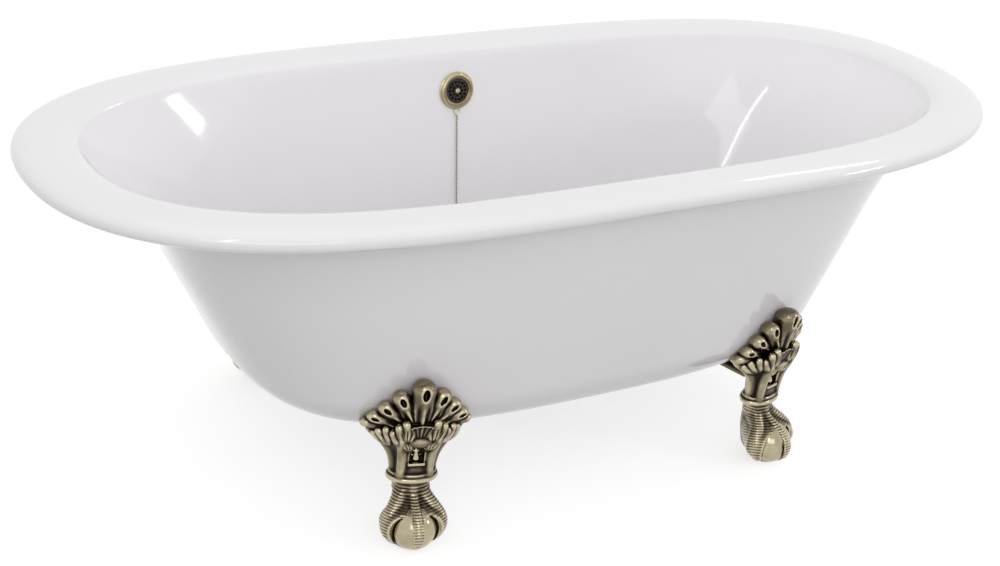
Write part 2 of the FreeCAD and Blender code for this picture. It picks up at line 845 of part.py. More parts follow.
def make_foot_fastenings():
    """Bolts, washers and threaded inserts: one group of eight each."""
    bolts = []
    washers = []
    inserts = []
    head_top = skin_floor - size("tongue_thickness") - size("washer_thickness")
    for count, place in enumerate(bolt_places(), start=1):
        under_washer = place + Vector(0, 0, head_top)
        seat = Placement(under_washer, Rotation())
        inside_board = Placement(place + Vector(0, 0, board_bottom), Rotation())
        head = doc.addObject("Part::Prism", f"bolt_head_{count}")
        head.Polygon = 6
        head.setExpression("Circumradius", bound("bolt_head_radius"))
        head.setExpression("Height", bound("bolt_head_height"))
        head.Placement = Placement(under_washer - Vector(0, 0, size("bolt_head_height")), Rotation())
        shank = rod(f"bolt_shank_{count}", "bolt_radius", "bolt_length", seat)
        bolts.append(fused(f"bolt_{count}", [head, shank]))
        disc = rod(f"washer_disc_{count}", "washer_radius", "washer_thickness", seat)
        eye = rod(f"washer_eye_{count}", "bolt_radius + running_clearance", "washer_thickness", seat)
        washers.append(cut_from(f"washer_{count}", disc, eye, keep=False))
        sleeve = rod(f"insert_sleeve_{count}", "insert_radius", "insert_length", inside_board)
        core = rod(f"insert_core_{count}", "bolt_radius + thread_clearance", "insert_length", inside_board)
        inserts.append(cut_from(f"insert_{count}", sleeve, core, keep=False))
    group_of("foot_bolts", bolts)
    group_of("foot_washers", washers)
    group_of("board_inserts", inserts)


# ---------------------------------------------------------------- waste fitting

def make_waste():
    """Flange with its threaded tail, two gaskets, the body under the floor and its nut."""
    tail = FLANGE_BOTTOM + " - waste_tail_end"
    top = tail + " + waste_flange_height"
    seat = top + " - waste_seat_depth"
    neck = "waste_tail_radius - thread_relief"
    turned_body("waste_flange", [
        ("waste_bore_radius", "0"), ("waste_tail_radius", "0"),
        ("waste_tail_radius", "waste_thread_length"), (neck, "waste_thread_length"), (neck, tail),
        ("waste_flange_radius", tail), ("waste_flange_radius", top), ("waste_seat_radius", top),
        ("waste_seat_radius", seat), ("waste_bore_radius", seat)], upright(size("waste_tail_end")))
    hole = "waste_tail_radius + running_clearance"
    ring = [(hole, "0"), ("gasket_radius", "0"), ("gasket_radius", "gasket_thickness"),
            (hole, "gasket_thickness")]
    turned_body("waste_top_gasket", ring, upright(basin_floor))
    turned_body("waste_lower_gasket", ring, upright(skin_floor - size("gasket_thickness")))
    body_bottom = skin_floor - size("gasket_thickness") - size("waste_body_height")
    spigot_frame = Placement(Vector(0, 0, body_bottom + size("spigot_radius") + size("spigot_wall")),
                             Rotation(Vector(1, 0, 0), -90))
    drum = rod("waste_drum", "waste_body_radius", "waste_body_height", upright(body_bottom))
    spigot = rod("waste_spigot", "spigot_radius", "waste_body_radius + spigot_length", spigot_frame)
    drum_bore = rod("waste_drum_bore", hole, "waste_body_height", upright(body_bottom))
    spigot_bore = rod("waste_spigot_bore", "spigot_radius - spigot_wall",
                      "waste_body_radius + spigot_length", spigot_frame)
    cut_from("waste_body", fused("waste_casting", [drum, spigot]),
             fused("waste_bores", [drum_bore, spigot_bore]))
    nut = doc.addObject("Part::Prism", "waste_nut_hexagon")
    nut.Polygon = 6
    nut.setExpression("Circumradius", bound("waste_nut_radius"))
    nut.setExpression("Height", bound("waste_nut_height"))
    nut.Placement = upright(body_bottom - size("waste_nut_height"))
    nut_bore = rod("waste_nut_bore", hole, "waste_nut_height",
                   upright(body_bottom - size("waste_nut_height")))
    cut_from("waste_backnut", nut, nut_bore)
    return spigot_frame


# ---------------------------------------------------------------- overflow fitting

def make_overflow():
    """Bezel, grid and screw on the far wall, with a gasket and an elbow behind it."""
    turned_body("overflow_bezel", [
        ("overflow_mouth", "0"), ("overflow_radius", "0"), ("overflow_radius", "overflow_edge"),
        ("overflow_mouth + overflow_slope_width + overflow_crest_width", "overflow_rise"),
        ("overflow_mouth + overflow_slope_width", "overflow_rise"),
        ("overflow_mouth", "overflow_mouth_height")], in_wall(size("glue_gap")))
    grid = new_body("overflow_grid")
    sketch = new_sketch(grid, "XY_Plane", "grid_disc")
    disc = sketch.addGeometry(Part.Circle(Vector(), Vector(0, 0, 1), size("overflow_mouth")), False)
    sketch.addConstraint(Sketcher.Constraint("Coincident", disc, 3, -1, 1))
    edge = sketch.addConstraint(Sketcher.Constraint("Radius", disc, size("overflow_mouth")))
    sketch.setExpression(f"Constraints[{edge}]", bound("overflow_mouth - running_clearance"))
    pad_sketch(grid, sketch, "grid_plate", "grid_thickness")
    cut_holes(grid, [(0, 0, "overflow_screw_shank + running_clearance")], "grid_screw_hole",
              "grid_thickness")
    for circle, count in (("outer", 14), ("inner", 8)):
        radius = size(f"grid_{circle}_circle")
        pocket = cut_holes(grid, [(radius, 0, "grid_hole_radius")], f"grid_{circle}_hole", "grid_thickness")
        pattern = grid.newObject("PartDesign::PolarPattern", f"grid_{circle}_holes")
        pattern.Originals = [pocket]
        pattern.Axis = (grid.Origin.OriginFeatures[2], [""])
        pattern.Angle = 360
        pattern.Occurrences = count
        grid.Tip = pattern
    grid.Placement = in_wall(size("overflow_rise") - size("grid_recess") - size("grid_thickness"))
    head = "overflow_screw_length"
    turned_body("overflow_screw", [
        ("0", "0"), ("overflow_screw_shank", "0"), ("overflow_screw_shank", head),
        ("overflow_screw_radius", head), ("overflow_screw_radius", head + " + overflow_screw_edge"),
        ("0.6 * overflow_screw_radius", head + " + overflow_screw_head"),
        ("0", head + " + overflow_screw_head")],
        in_wall(size("overflow_rise") - size("grid_recess") - size("overflow_screw_length")))
    back = -size("liner_thickness") - size("glue_gap")
    turned_body("overflow_gasket", [
        ("overflow_hole", "0"), ("elbow_radius", "0"), ("elbow_radius", "gasket_thickness"),
        ("overflow_hole", "gasket_thickness")], in_wall(back - size("gasket_thickness")))
    mouth = back - size("gasket_thickness")
    depth = size("elbow_depth")
    wall = size("elbow_wall")
    tail_height = mouth - depth + size("spigot_radius") + wall
    tail_frame = overflow_frame().multiply(
        Placement(Vector(0, 0, tail_height), Rotation(Vector(1, 0, 0), 90)))
    cup = rod("elbow_cup", "elbow_radius", "elbow_depth", in_wall(mouth - depth))
    tail = rod("elbow_pipe", "spigot_radius", "elbow_radius + elbow_tail", tail_frame)
    boss = rod("elbow_boss", "overflow_screw_shank + elbow_boss_wall", "elbow_boss_height",
               in_wall(mouth - depth))
    hollow = rod("elbow_hollow", "elbow_radius - elbow_wall", "elbow_depth", in_wall(mouth - depth + wall))
    pipe_bore = rod("elbow_pipe_bore", "spigot_radius - spigot_wall", "elbow_radius + elbow_tail",
                    tail_frame)
    screw_bore = rod("elbow_screw_bore", "overflow_screw_shank + thread_clearance", "elbow_depth",
                     in_wall(mouth - depth + wall))
    shell = cut_from("elbow_shell", fused("elbow_casting", [cup, tail]),
                     fused("elbow_hollows", [hollow, pipe_bore]), keep=False)
    cut_from("overflow_elbow", fused("elbow_with_boss", [shell, boss]), screw_bore)
    return tail_frame


# ---------------------------------------------------------------- hose and chain tubes

def cavity_middle(height):
    """Half way between the two skins on the overflow side."""
    basin = basin_halves(height, size("liner_thickness"))[1]
    skin = skin_halves(height, size("skin_thickness"))[1]
    return (basin + skin) / 2


def bent_path(points, name):
    """Straight runs joined by tangent arcs, each as large as its two runs allow."""
    edges = []
    start = points[0]
    length = 0
    radii = []
    for before, corner, after in zip(points, points[1:], points[2:]):
        inward = (before - corner).normalize()
        onward = (after - corner).normalize()
        half_turn = (math.pi - inward.getAngle(onward)) / 2
        setback = 0.45 * min(before.distanceToPoint(corner), after.distanceToPoint(corner))
        radius = setback / math.tan(half_turn)
        radii.append(radius)
        first = corner + inward * setback
        last = corner + onward * setback
        middle = corner + (inward + onward).normalize() * (radius / math.cos(half_turn) - radius)
        edges.append(Part.LineSegment(start, first).toShape())
        edges.append(Part.Arc(first, middle, last).toShape())
        length += start.distanceToPoint(first) + 2 * half_turn * radius
        start = last
    edges.append(Part.LineSegment(start, points[-1]).toShape())
    length += start.distanceToPoint(points[-1])
    print(name, "length", round(length, 1), "smallest radius", round(min(radii), 1))
    return Part.Wire(edges), length


def tube_along(points, radius, name):
    """A round bar along a bent path, checked against its section times its length."""
    path, length = bent_path(points, name)
    direction = points[1] - points[0]
    section = Part.Wire([Part.makeCircle(radius, points[0], direction)])
    solid = path.makePipeShell([section], True, True)
    ratio = solid.Volume / (math.pi * radius ** 2 * length)
    print(name, "volume over section times length", round(ratio, 4))
    return solid


def make_hose(spigot_frame, tail_frame):
    """The overflow hose with its bore, its two clips and the sleeve where it leaves the skin."""
    straight = size("waste_body_radius") + size("spigot_length")
    tail_end = size("elbow_radius") + size("elbow_tail")
    low = spigot_frame.Base.z
    upper = skin_floor + size("hose_upper_bend")
    lower = skin_floor + size("hose_lower_bend")
    route = [
        tail_frame.multVec(Vector(0, 0, size("elbow_radius") + size("hose_insert"))),
        tail_frame.multVec(Vector(0, 0, tail_end + size("hose_end_run"))),
        Vector(0, cavity_middle(upper), upper),
        Vector(0, cavity_middle(lower), lower),
        Vector(0, hose_hole_y, skin_floor + size("hose_hole_rise")),
        Vector(0, hose_hole_y, skin_floor - size("hose_hole_drop")),
        Vector(0, hose_hole_y - size("hose_sweep"), low),
        Vector(0, size("waste_body_radius") + size("hose_insert"), low),
    ]
    outer = tube_along(route, size("hose_radius"), "hose")
    bore = tube_along(route, size("spigot_radius") + size("hose_clearance"), "hose bore")
    add_shape("overflow_hose", outer.cut(bore))
    inner = size("hose_radius") + size("hose_clearance")
    rings = []
    for frame, reach in ((tail_frame, tail_end), (spigot_frame, straight)):
        place = frame.multiply(Placement(Vector(0, 0, reach - 2 * size("clip_width")), Rotation()))
        band = Part.makeCylinder(inner + size("clip_thickness"), size("clip_width"))
        gap = Part.makeCylinder(inner, size("clip_width"))
        rings.append(moved(band.cut(gap), place))
    add_shape("hose_clips", Part.makeCompound(rings))
    outside = size("hose_radius") + size("grommet_wall") - size("running_clearance")
    bottom = skin_floor - size("grommet_drop")
    sleeve = cylinder(outside, bottom, bottom + size("grommet_length"), 0, hose_hole_y)
    gap = cylinder(inner, 0, board_top, 0, hose_hole_y)
    add_shape("hose_sleeve", sleeve.cut(gap))


# The chain hangs down the far wall, rounds the foot of the wall and lies on the floor.
CHAIN_ROUTE = [(0, 262.9, 452.9), (0, 225.6, 241.5), (0, 198.2, 204.6), (0, 157.1, 184.4),
               (8, 120, 183.2), (-5, 86, 183.2), (3, 60, 184), (1, 42, 188.2), (0, 24.7, 190.2)]
CHAIN_END_ROUTE = [(0, 24.3, 190.3), (0, 18.5, 192.6), (0, 13.1, 194.4)]


def make_chain():
    radius = size("chain_diameter") / 2
    stay_place = Placement(Vector(0, wire_loop_y(), size("stay_height")), Rotation())
    loop = Part.makeTorus(size("stay_radius"), size("wire_radius"))
    add_shape("chain_stay", moved(loop, overflow_frame().multiply(stay_place)))
    add_shape("chain", tube_along([Vector(*point) for point in CHAIN_ROUTE], radius, "chain"))
    add_shape("chain_end", tube_along([Vector(*point) for point in CHAIN_END_ROUTE], radius, "chain end"))


def wire_loop_y():
    """The wire loop hangs from the bezel's lowest edge."""
    return -(size("overflow_radius") + size("stay_radius") - size("wire_radius"))


def make_plug():
    """Plug, its rubber seal and its ring; they lift straight up out of the seat."""
    core = "plug_radius - seal_depth"
    shoulder = "waste_seat_depth"
    grip = "waste_seat_depth + plug_grip_height"
    top = grip + " + plug_post_height"
    seat = upright(flange_top - size("waste_seat_depth") + size("thread_clearance"))
    turned_body("plug", [
        ("0", "0"), (core, "0"), (core, "seal_height"), ("plug_radius", "seal_height"),
        ("plug_radius", shoulder), ("plug_grip_radius", shoulder), ("0.8 * plug_grip_radius", grip),
        ("plug_post_radius", grip), ("plug_post_radius", top), ("0", top)], seat)
    seal = "waste_seat_radius - seal_clearance"
    turned_body("plug_seal", [
        (core, "0"), (seal, "0"), (seal, "seal_height"), (core, "seal_height")], seat)
    ring = Part.makeTorus(size("ring_radius"), size("wire_radius"))
    ring_height = seat.Base.z + value_of(top) - size("wire_radius")
    ring_back = size("ring_radius") + size("wire_radius") - size("ring_bite")
    place = Placement(Vector(0, ring_back, ring_height), Rotation(Vector(0, 1, 0), 90))
    add_shape("plug_ring", moved(ring, place))


make_liner()
make_outer_skin()
make_board()
make_feet()
make_foot_fastenings()
spigot_frame = make_waste()
tail_frame = make_overflow()
make_hose(spigot_frame, tail_frame)
make_chain()
make_plug()
doc.recompute()
for item in doc.Objects:
    if "Invalid" in item.State or "Error" in item.State:
        raise RuntimeError(f"{item.Label} failed")
for item in nodes:
    shape = item.Shape
    if shape.isNull() or not shape.isValid():
        raise RuntimeError(f"{item.Label} has no sound shape")
for item in nodes:
    item.Shape.exportStep(f"parts/{item.Label}.step")
    print(item.Label, len(item.Shape.Solids), round(item.Shape.Volume), item.Shape.BoundBox)
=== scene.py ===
# %% [markdown]
# # A roll-top bath on four claw feet
#
# The bath is a smooth white basin in a leaning outer skin. Both hang from a thick
# rolled rim. Four cast feet in aged brass hold a ball each, and a ball chain ties the
# plug to the overflow on the far wall.
#
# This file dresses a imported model, piece by piece. Everything is in metres, in the
# model's own frame: +X along the bath, +Y towards the overflow, +Z up, and the origin
# on the floor under the middle.

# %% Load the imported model
import math

import bmesh
import bpy
import numpy as np
from mathutils import Matrix, Vector


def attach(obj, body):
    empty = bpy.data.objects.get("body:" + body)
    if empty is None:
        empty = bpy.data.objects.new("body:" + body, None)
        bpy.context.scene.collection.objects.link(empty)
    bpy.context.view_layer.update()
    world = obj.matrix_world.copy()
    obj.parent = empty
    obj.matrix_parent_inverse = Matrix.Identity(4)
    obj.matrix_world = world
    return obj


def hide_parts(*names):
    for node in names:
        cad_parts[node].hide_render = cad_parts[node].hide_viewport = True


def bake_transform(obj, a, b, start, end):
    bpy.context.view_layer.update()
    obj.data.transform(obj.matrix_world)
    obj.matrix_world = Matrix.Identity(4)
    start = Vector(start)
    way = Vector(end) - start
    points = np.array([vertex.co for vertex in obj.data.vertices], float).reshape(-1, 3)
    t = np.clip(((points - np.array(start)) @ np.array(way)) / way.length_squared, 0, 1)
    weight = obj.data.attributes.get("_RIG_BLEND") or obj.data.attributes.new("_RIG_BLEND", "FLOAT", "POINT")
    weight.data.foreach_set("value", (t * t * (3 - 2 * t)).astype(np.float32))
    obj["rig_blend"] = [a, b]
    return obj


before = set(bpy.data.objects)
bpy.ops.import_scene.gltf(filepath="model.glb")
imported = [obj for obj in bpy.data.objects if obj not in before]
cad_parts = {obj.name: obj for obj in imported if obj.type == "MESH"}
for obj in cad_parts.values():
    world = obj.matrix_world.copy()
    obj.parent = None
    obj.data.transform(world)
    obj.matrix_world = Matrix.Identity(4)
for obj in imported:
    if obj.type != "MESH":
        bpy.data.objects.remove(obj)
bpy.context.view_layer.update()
MM = 0.001


def placed(name, data):
    """A new object in the scene, at the origin."""
    obj = bpy.data.objects.new(name, data)
    bpy.context.scene.collection.objects.link(obj)
    return obj


# %% [markdown]
# ## Camera
#
# The bath is seen from its near left corner, a little from above, with a long lens, so
# that its far end hardly shrinks. A camera can be placed by its angle round the object,
# its height and its distance. The last few degrees are turns of the camera itself, and
# they are done in the order that a head on a tripod has: roll, then yaw, then pitch.

# %% Camera
AZIMUTH, ELEVATION, DISTANCE = -34.103, 25.158, 3.082163
YAW, PITCH, ROLL = -0.785, -0.774, 6.727
AIM = Vector((0, 0, 0.3))
LENS = 66.311


def turned_pair(first, second, degrees):
    """Two axes at right angles, turned in their own plane."""
    angle = math.radians(degrees)
    cos, sin = math.cos(angle), math.sin(angle)
    return first * cos + second * sin, second * cos - first * sin


azimuth, elevation = math.radians(AZIMUTH), math.radians(ELEVATION)
backwards = Vector((math.sin(azimuth) * math.cos(elevation),
                    -math.cos(azimuth) * math.cos(elevation), math.sin(elevation)))
forwards = -backwards
rightwards = forwards.cross(Vector((0, 0, 1))).normalized()
upwards = rightwards.cross(forwards)
rightwards, upwards = turned_pair(rightwards, upwards, ROLL)
forwards, rightwards = turned_pair(forwards, rightwards, YAW)
forwards, upwards = turned_pair(forwards, upwards, PITCH)
camera_data = bpy.data.cameras.new("camera")
camera_data.lens = LENS
camera_data.sensor_width = 36
camera = placed("camera", camera_data)
turn = Matrix((rightwards, upwards, -forwards)).transposed().to_4x4()
camera.matrix_world = Matrix.Translation(AIM + backwards * DISTANCE) @ turn
bpy.context.scene.camera = camera
print("camera at", [round(v, 3) for v in camera.matrix_world.translation])

# %% [markdown]
# ## Small helpers
#
# A mesh from code is a list of points and a list of faces. Its faces have to point
# outwards, and the sign of the volume that they enclose tells whether they do. Rings of
# points joined to their neighbours make most of this bath, so one helper joins them.


# %% Meshes from points and rings
def mesh_object(name, points, faces):
    """A smooth mesh object from points in metres, its faces turned outwards."""
    mesh = bpy.data.meshes.new(name)
    mesh.from_pydata([tuple(p) for p in points], [], [tuple(f) for f in faces])
    mesh.validate()
    mesh.update()
    work = bmesh.new()
    work.from_mesh(mesh)
    if work.calc_volume(signed=True) < 0:
        bmesh.ops.reverse_faces(work, faces=work.faces[:])
        work.to_mesh(mesh)
    work.free()
    mesh.polygons.foreach_set("use_smooth", [True] * len(mesh.polygons))
    return placed(name, mesh)


def bmesh_object(name, work):
    """The bmesh as an object; the bmesh is used up."""
    mesh = bpy.data.meshes.new(name)
    work.to_mesh(mesh)
    work.free()
    return placed(name, mesh)


def ring_faces(rings, around, closed):
    """Quads between neighbouring rings of points; closed joins the last ring to the first."""
    ring = np.arange(rings if closed else rings - 1)[:, None]
    step = np.arange(around)[None, :]
    this, that = ring * around, (ring + 1) % rings * around
    following = (step + 1) % around
    quads = np.stack([this + step, this + following, that + following, that + step], axis=-1)
    return quads.reshape(-1, 4)


def crisp(obj, degrees=35):
    """Smooth shading that breaks at edges sharper than an angle."""
    obj.data.set_sharp_from_angle(angle=math.radians(degrees))
    return obj


def evaluated_mesh(obj):
    """A plain mesh of the object as it looks with its modifiers and curves worked out."""
    bpy.context.view_layer.update()
    graph = bpy.context.evaluated_depsgraph_get()
    return bpy.data.meshes.new_from_object(obj.evaluated_get(graph))


def evaluated(obj):
    """The object with its modifiers done, as a plain mesh object in its place."""
    mesh, name = evaluated_mesh(obj), obj.name
    bpy.data.objects.remove(obj, do_unlink=True)
    mesh.name = name
    return placed(name, mesh)


def with_cuts(obj, cutters):
    """The object with the cutters taken away, all of them closed meshes."""
    for cutter in cutters:
        change = obj.modifiers.new("cut", "BOOLEAN")
        change.object = cutter
        change.solver = "EXACT"
    result = evaluated(obj)
    for cutter in cutters:
        bpy.data.objects.remove(cutter, do_unlink=True)
    return result


# %% [markdown]
# ## The chain's route
#
# The chain hangs straight from its wire loop down the far wall, rounds the foot of the
# wall and lies on the basin's floor in a loose wave up to the plug. It is limp, so a
# smooth curve through a few listed points is enough, and its length is that of the
# usual 18 inch bath chain. It comes first, because its length and its place are facts
# that the rest has to respect.

# %% Chain route
CHAIN_ROUTE = [(0, 0.2629, 0.4529), (0, 0.2336, 0.2868), (0, 0.2256, 0.2415), (0, 0.1982, 0.2046),
               (0, 0.1571, 0.1844), (0.008, 0.12, 0.1832), (-0.005, 0.086, 0.1832),
               (0.003, 0.06, 0.184), (0.001, 0.042, 0.1882), (0, 0.0247, 0.1902),
               (0, 0.0185, 0.1926), (0, 0.0131, 0.1944)]
CHAIN_DIAMETER = 0.0032


def spline_object(name, points):
    """A curve object of one open, smooth spline with the given control points."""
    curve = bpy.data.curves.new(name, "CURVE")
    curve.dimensions = "3D"
    spline = curve.splines.new("NURBS")
    spline.points.add(len(points) - 1)
    for target, point in zip(spline.points, points):
        target.co = (*point, 1)
    spline.order_u = 3
    spline.use_endpoint_u = True
    spline.resolution_u = 24
    return placed(name, curve)


def line_points(obj):
    """Points along a curve object, close together."""
    mesh = evaluated_mesh(obj)
    points = [tuple(v.co) for v in mesh.vertices]
    bpy.data.meshes.remove(mesh)
    return points


chain_line = spline_object("chain_line", CHAIN_ROUTE)
chain_points = line_points(chain_line)
chain_length = sum(math.dist(a, b) for a, b in zip(chain_points, chain_points[1:]))
print("chain length", round(chain_length, 4), "points", len(chain_points))

# %% [markdown]
# ## Sizes and curves of the bath
#
# Seen from above, every level of the bath is a superellipse, fuller than an ellipse at
# its ends. Each wall leans in a straight line and then turns into the floor on an arc.
# Near the rim the ends flare outwards. These few rules give each ring of the bath at
# any height, so the surfaces are true curves and not a copy of a coarse mesh. The
# numbers are the model's own, in millimetres.

# %% Plan curves
TUB_LENGTH, TUB_WIDTH, TUB_HEIGHT = 1700, 744, 574
RIM_END_WIDTH, RIM_SIDE_WIDTH, RIM_DEPTH = 100, 88, 38
RIM_SQUARENESS = 2.4
RIM_MIDDLE = TUB_HEIGHT - RIM_DEPTH / 2
RIM_UNDERSIDE = TUB_HEIGHT - RIM_DEPTH
RIM_END_POWER, RIM_SIDE_POWER, RIM_POWER_GAIN = 3.55, 2.23, 0.13
SKIN_FLOOR, SKIN_THICKNESS = 153, 4
SKIN_END_LEAN, SKIN_SIDE_LEAN = 28.7, 8.5
SKIN_END_TOE, SKIN_SIDE_TOE = 143, 91
SKIN_END_FLARE, SKIN_FLARE_DEPTH = 37, 130
SKIN_END_INSET, SKIN_SIDE_INSET = 142, 41
SKIN_FLOOR_POWER, SKIN_TOP_POWER = 2.96, 2.4
FLANGE_FILLET = 16
LIP_ANGLE = 55
GLUE_GAP = 0.4
BASIN_FLOOR, LINER_THICKNESS = 180.8, 5
BASIN_SIDE_LEAN = 10
CAVITY = 22
BASIN_END_TOE, BASIN_SIDE_TOE = 130, 100
BASIN_FLARE_DEPTH = 150
BASIN_FLOOR_POWERS = (3.0, 2.9)
WASTE_HOLE = 24.5
OVERFLOW_HEIGHT = TUB_HEIGHT - 76
AROUND = 352


def slope(degrees):
    return math.tan(math.radians(degrees))


def between(low, high, share):
    return low + (high - low) * share


def toe_inset(height, top, floor, lean, toe):
    """How far a leaning wall stands in from its top: a straight stretch, then an arc."""
    centre = floor + toe
    tangent = centre - toe * math.sin(math.radians(lean))
    if height >= tangent:
        return (top - height) * slope(lean)
    reach = (top - tangent) * slope(lean) + toe * math.cos(math.radians(lean))
    return reach - math.sqrt(max(toe ** 2 - (height - centre) ** 2, 0))


def flare(height, top, amount, depth):
    """Extra reach near the top, where the wall curves out towards the rim."""
    share = (top - height) / depth
    return amount * (1 - share) ** 2 if share < 1 else 0


def plan_ring(half_length, half_width, end_power, side_power, height):
    """One level of the bath: evenly spaced points on |x/a|^end + |y/b|^side = 1."""
    angle = np.linspace(0, math.pi / 2, 1201)
    x = half_length * np.clip(np.cos(angle), 0, 1) ** (2 / end_power)
    y = half_width * np.sin(angle) ** (2 / side_power)
    x[-1] = 0
    run = np.concatenate([[0], np.cumsum(np.hypot(np.diff(x), np.diff(y)))])
    even = np.linspace(0, run[-1], AROUND // 4 + 1)
    x, y = np.interp(even, run, x), np.interp(even, run, y)
    xs = np.concatenate([x, -x[-2::-1], -x[1:], x[-2:0:-1]])
    ys = np.concatenate([y, y[-2::-1], -y[1:], -y[-2:0:-1]])
    return np.stack([xs, ys, np.full(len(xs), float(height))], axis=1)


def signed_power(value, power):
    return math.copysign(abs(value) ** power, value)


def rim_ring(angle, inside=0):
    """The rolled rim at an angle round its section: 0 outermost, 90 crest, 180 inner edge."""
    across = signed_power(math.cos(math.radians(angle)), 2 / RIM_SQUARENESS)
    rise = signed_power(math.sin(math.radians(angle)), 2 / RIM_SQUARENESS)
    end_half, side_half = RIM_END_WIDTH / 2, RIM_SIDE_WIDTH / 2
    end_offset = end_half - (end_half - inside) * across
    side_offset = side_half - (side_half - inside) * across
    return plan_ring(TUB_LENGTH / 2 - end_offset, TUB_WIDTH / 2 - side_offset, RIM_END_POWER,
                     RIM_SIDE_POWER + RIM_POWER_GAIN * side_offset / RIM_SIDE_WIDTH,
                     RIM_MIDDLE + (RIM_DEPTH / 2 - inside) * rise)


def skin_halves(height, inside=0):
    """Half length and half width of the outer skin, or of a face inside it."""
    floor = SKIN_FLOOR + inside
    end_inset = toe_inset(height, RIM_UNDERSIDE, floor, SKIN_END_LEAN, SKIN_END_TOE - inside)
    side_inset = toe_inset(height, RIM_UNDERSIDE, floor, SKIN_SIDE_LEAN, SKIN_SIDE_TOE - inside)
    end_wall = inside / math.cos(math.radians(SKIN_END_LEAN))
    side_wall = inside / math.cos(math.radians(SKIN_SIDE_LEAN))
    end_flare = flare(height, RIM_UNDERSIDE, SKIN_END_FLARE, SKIN_FLARE_DEPTH)
    return (TUB_LENGTH / 2 - SKIN_END_INSET - end_inset + end_flare - end_wall,
            TUB_WIDTH / 2 - SKIN_SIDE_INSET - side_inset - side_wall)


def skin_power(height):
    share = (height - SKIN_FLOOR) / (RIM_UNDERSIDE - SKIN_FLOOR)
    return between(SKIN_FLOOR_POWER, SKIN_TOP_POWER, share)


def skin_ring(height, inside=0, outwards=0):
    half_length, half_width = skin_halves(height, inside)
    power = skin_power(height)
    return plan_ring(half_length + outwards, half_width + outwards, power, power, height)


def basin_halves(height, outside=0):
    """Half length and half width of the basin's face, or of a face behind it."""
    floor = BASIN_FLOOR - outside
    line_end = (TUB_LENGTH / 2 - SKIN_END_INSET - CAVITY
                + RIM_DEPTH / 2 * slope(SKIN_END_LEAN))
    end_inset = toe_inset(height, RIM_MIDDLE, floor, SKIN_END_LEAN, BASIN_END_TOE + outside)
    side_inset = toe_inset(height, RIM_MIDDLE, floor, BASIN_SIDE_LEAN, BASIN_SIDE_TOE + outside)
    reach = TUB_LENGTH / 2 - RIM_END_WIDTH - line_end
    end_wall = outside / math.cos(math.radians(SKIN_END_LEAN))
    return (line_end - end_inset + flare(height, RIM_MIDDLE, reach, BASIN_FLARE_DEPTH) + end_wall,
            TUB_WIDTH / 2 - RIM_SIDE_WIDTH - side_inset + outside)


def basin_ring(height, outside=0):
    half_length, half_width = basin_halves(height, outside)
    share = (height - BASIN_FLOOR) / (RIM_MIDDLE - BASIN_FLOOR)
    return plan_ring(half_length, half_width,
                     between(BASIN_FLOOR_POWERS[0], RIM_END_POWER, share),
                     between(BASIN_FLOOR_POWERS[1], RIM_SIDE_POWER + RIM_POWER_GAIN, share), height)


def floor_rings(outer, steps, radius):
    """Rings from a plan ring in to a round hole, all at one height, the hole's ring last."""
    angle = np.arctan2(outer[:, 1], outer[:, 0])
    hole = np.stack([radius * np.cos(angle), radius * np.sin(angle), outer[:, 2]], axis=1)
    return [between(outer, hole, share ** 0.9) for share in np.linspace(0, 1, steps + 1)[1:]]


def wall_heights(top, floor, toe):
    """Heights down a wall: even steps, then closer ones round the arc into the floor."""
    bend = [floor + toe * (1 - math.cos(math.radians(a))) for a in np.linspace(62, 0, 22)]
    wall = list(np.linspace(top, bend[0], 40))[:-1]
    return wall + bend


print("half length and width of the basin at the overflow:", basin_halves(OVERFLOW_HEIGHT))

# %% [markdown]
# ## Basin and rolled rim
#
# On the real bath one sheet of white acrylic is moulded into the basin, over the rim
# and round to its lower lip. So the mesh is one closed shell too: rings down the
# finished side, from the lip over the crest to the floor, and back up behind at the
# sheet's thickness. The two round holes are the waste's, which the rings run into, and
# the overflow's, which is cut afterwards.


# %% Basin and rim
def eased(rings, centre, window, rounds):
    """Softens a crease that runs round the bath by averaging rings along the section."""
    for _ in range(rounds):
        part = rings[centre - window:centre + window + 1]
        rings[centre - window + 1:centre + window] = (part[:-2] + 2 * part[1:-1] + part[2:]) / 4
    return rings


def basin_side(inside, rim_steps):
    """Rings from the lip over the rim and down to the waste hole."""
    rings = [rim_ring(angle, inside) for angle in np.linspace(-LIP_ANGLE, 180, rim_steps)]
    heights = wall_heights(RIM_MIDDLE, BASIN_FLOOR - inside, BASIN_END_TOE + inside)
    rings += [basin_ring(height, inside) for height in heights[1:]]
    rings += floor_rings(rings[-1], 14, WASTE_HOLE)
    return eased(np.array(rings), rim_steps - 1, 5, 14)


def liner_mesh():
    front, back = basin_side(0, 49), basin_side(LINER_THICKNESS, 25)
    rings = np.concatenate([front, back[::-1]]) * MM
    return mesh_object("basin_and_rim", rings.reshape(-1, 3), ring_faces(len(rings), AROUND, True))


def drum(name, radius, length, place, steps=64):
    """A closed round bar along the Z axis of a placement, centred on it."""
    work = bmesh.new()
    bmesh.ops.create_cone(work, cap_ends=True, segments=steps, radius1=radius, radius2=radius,
                          depth=length, matrix=place)
    return bmesh_object(name, work)


OVERFLOW_HOLE = 0.025
overflow_reach = basin_halves(OVERFLOW_HEIGHT)[1]
overflow_place = (Matrix.Translation((0, overflow_reach * MM, OVERFLOW_HEIGHT * MM))
                  @ Matrix.Rotation(math.radians(90 - BASIN_SIDE_LEAN), 4, "X"))
basin = with_cuts(liner_mesh(), [drum("overflow_cut", OVERFLOW_HOLE, 0.06, overflow_place)])
crisp(basin)
print("basin and rim: faces", len(basin.data.polygons))


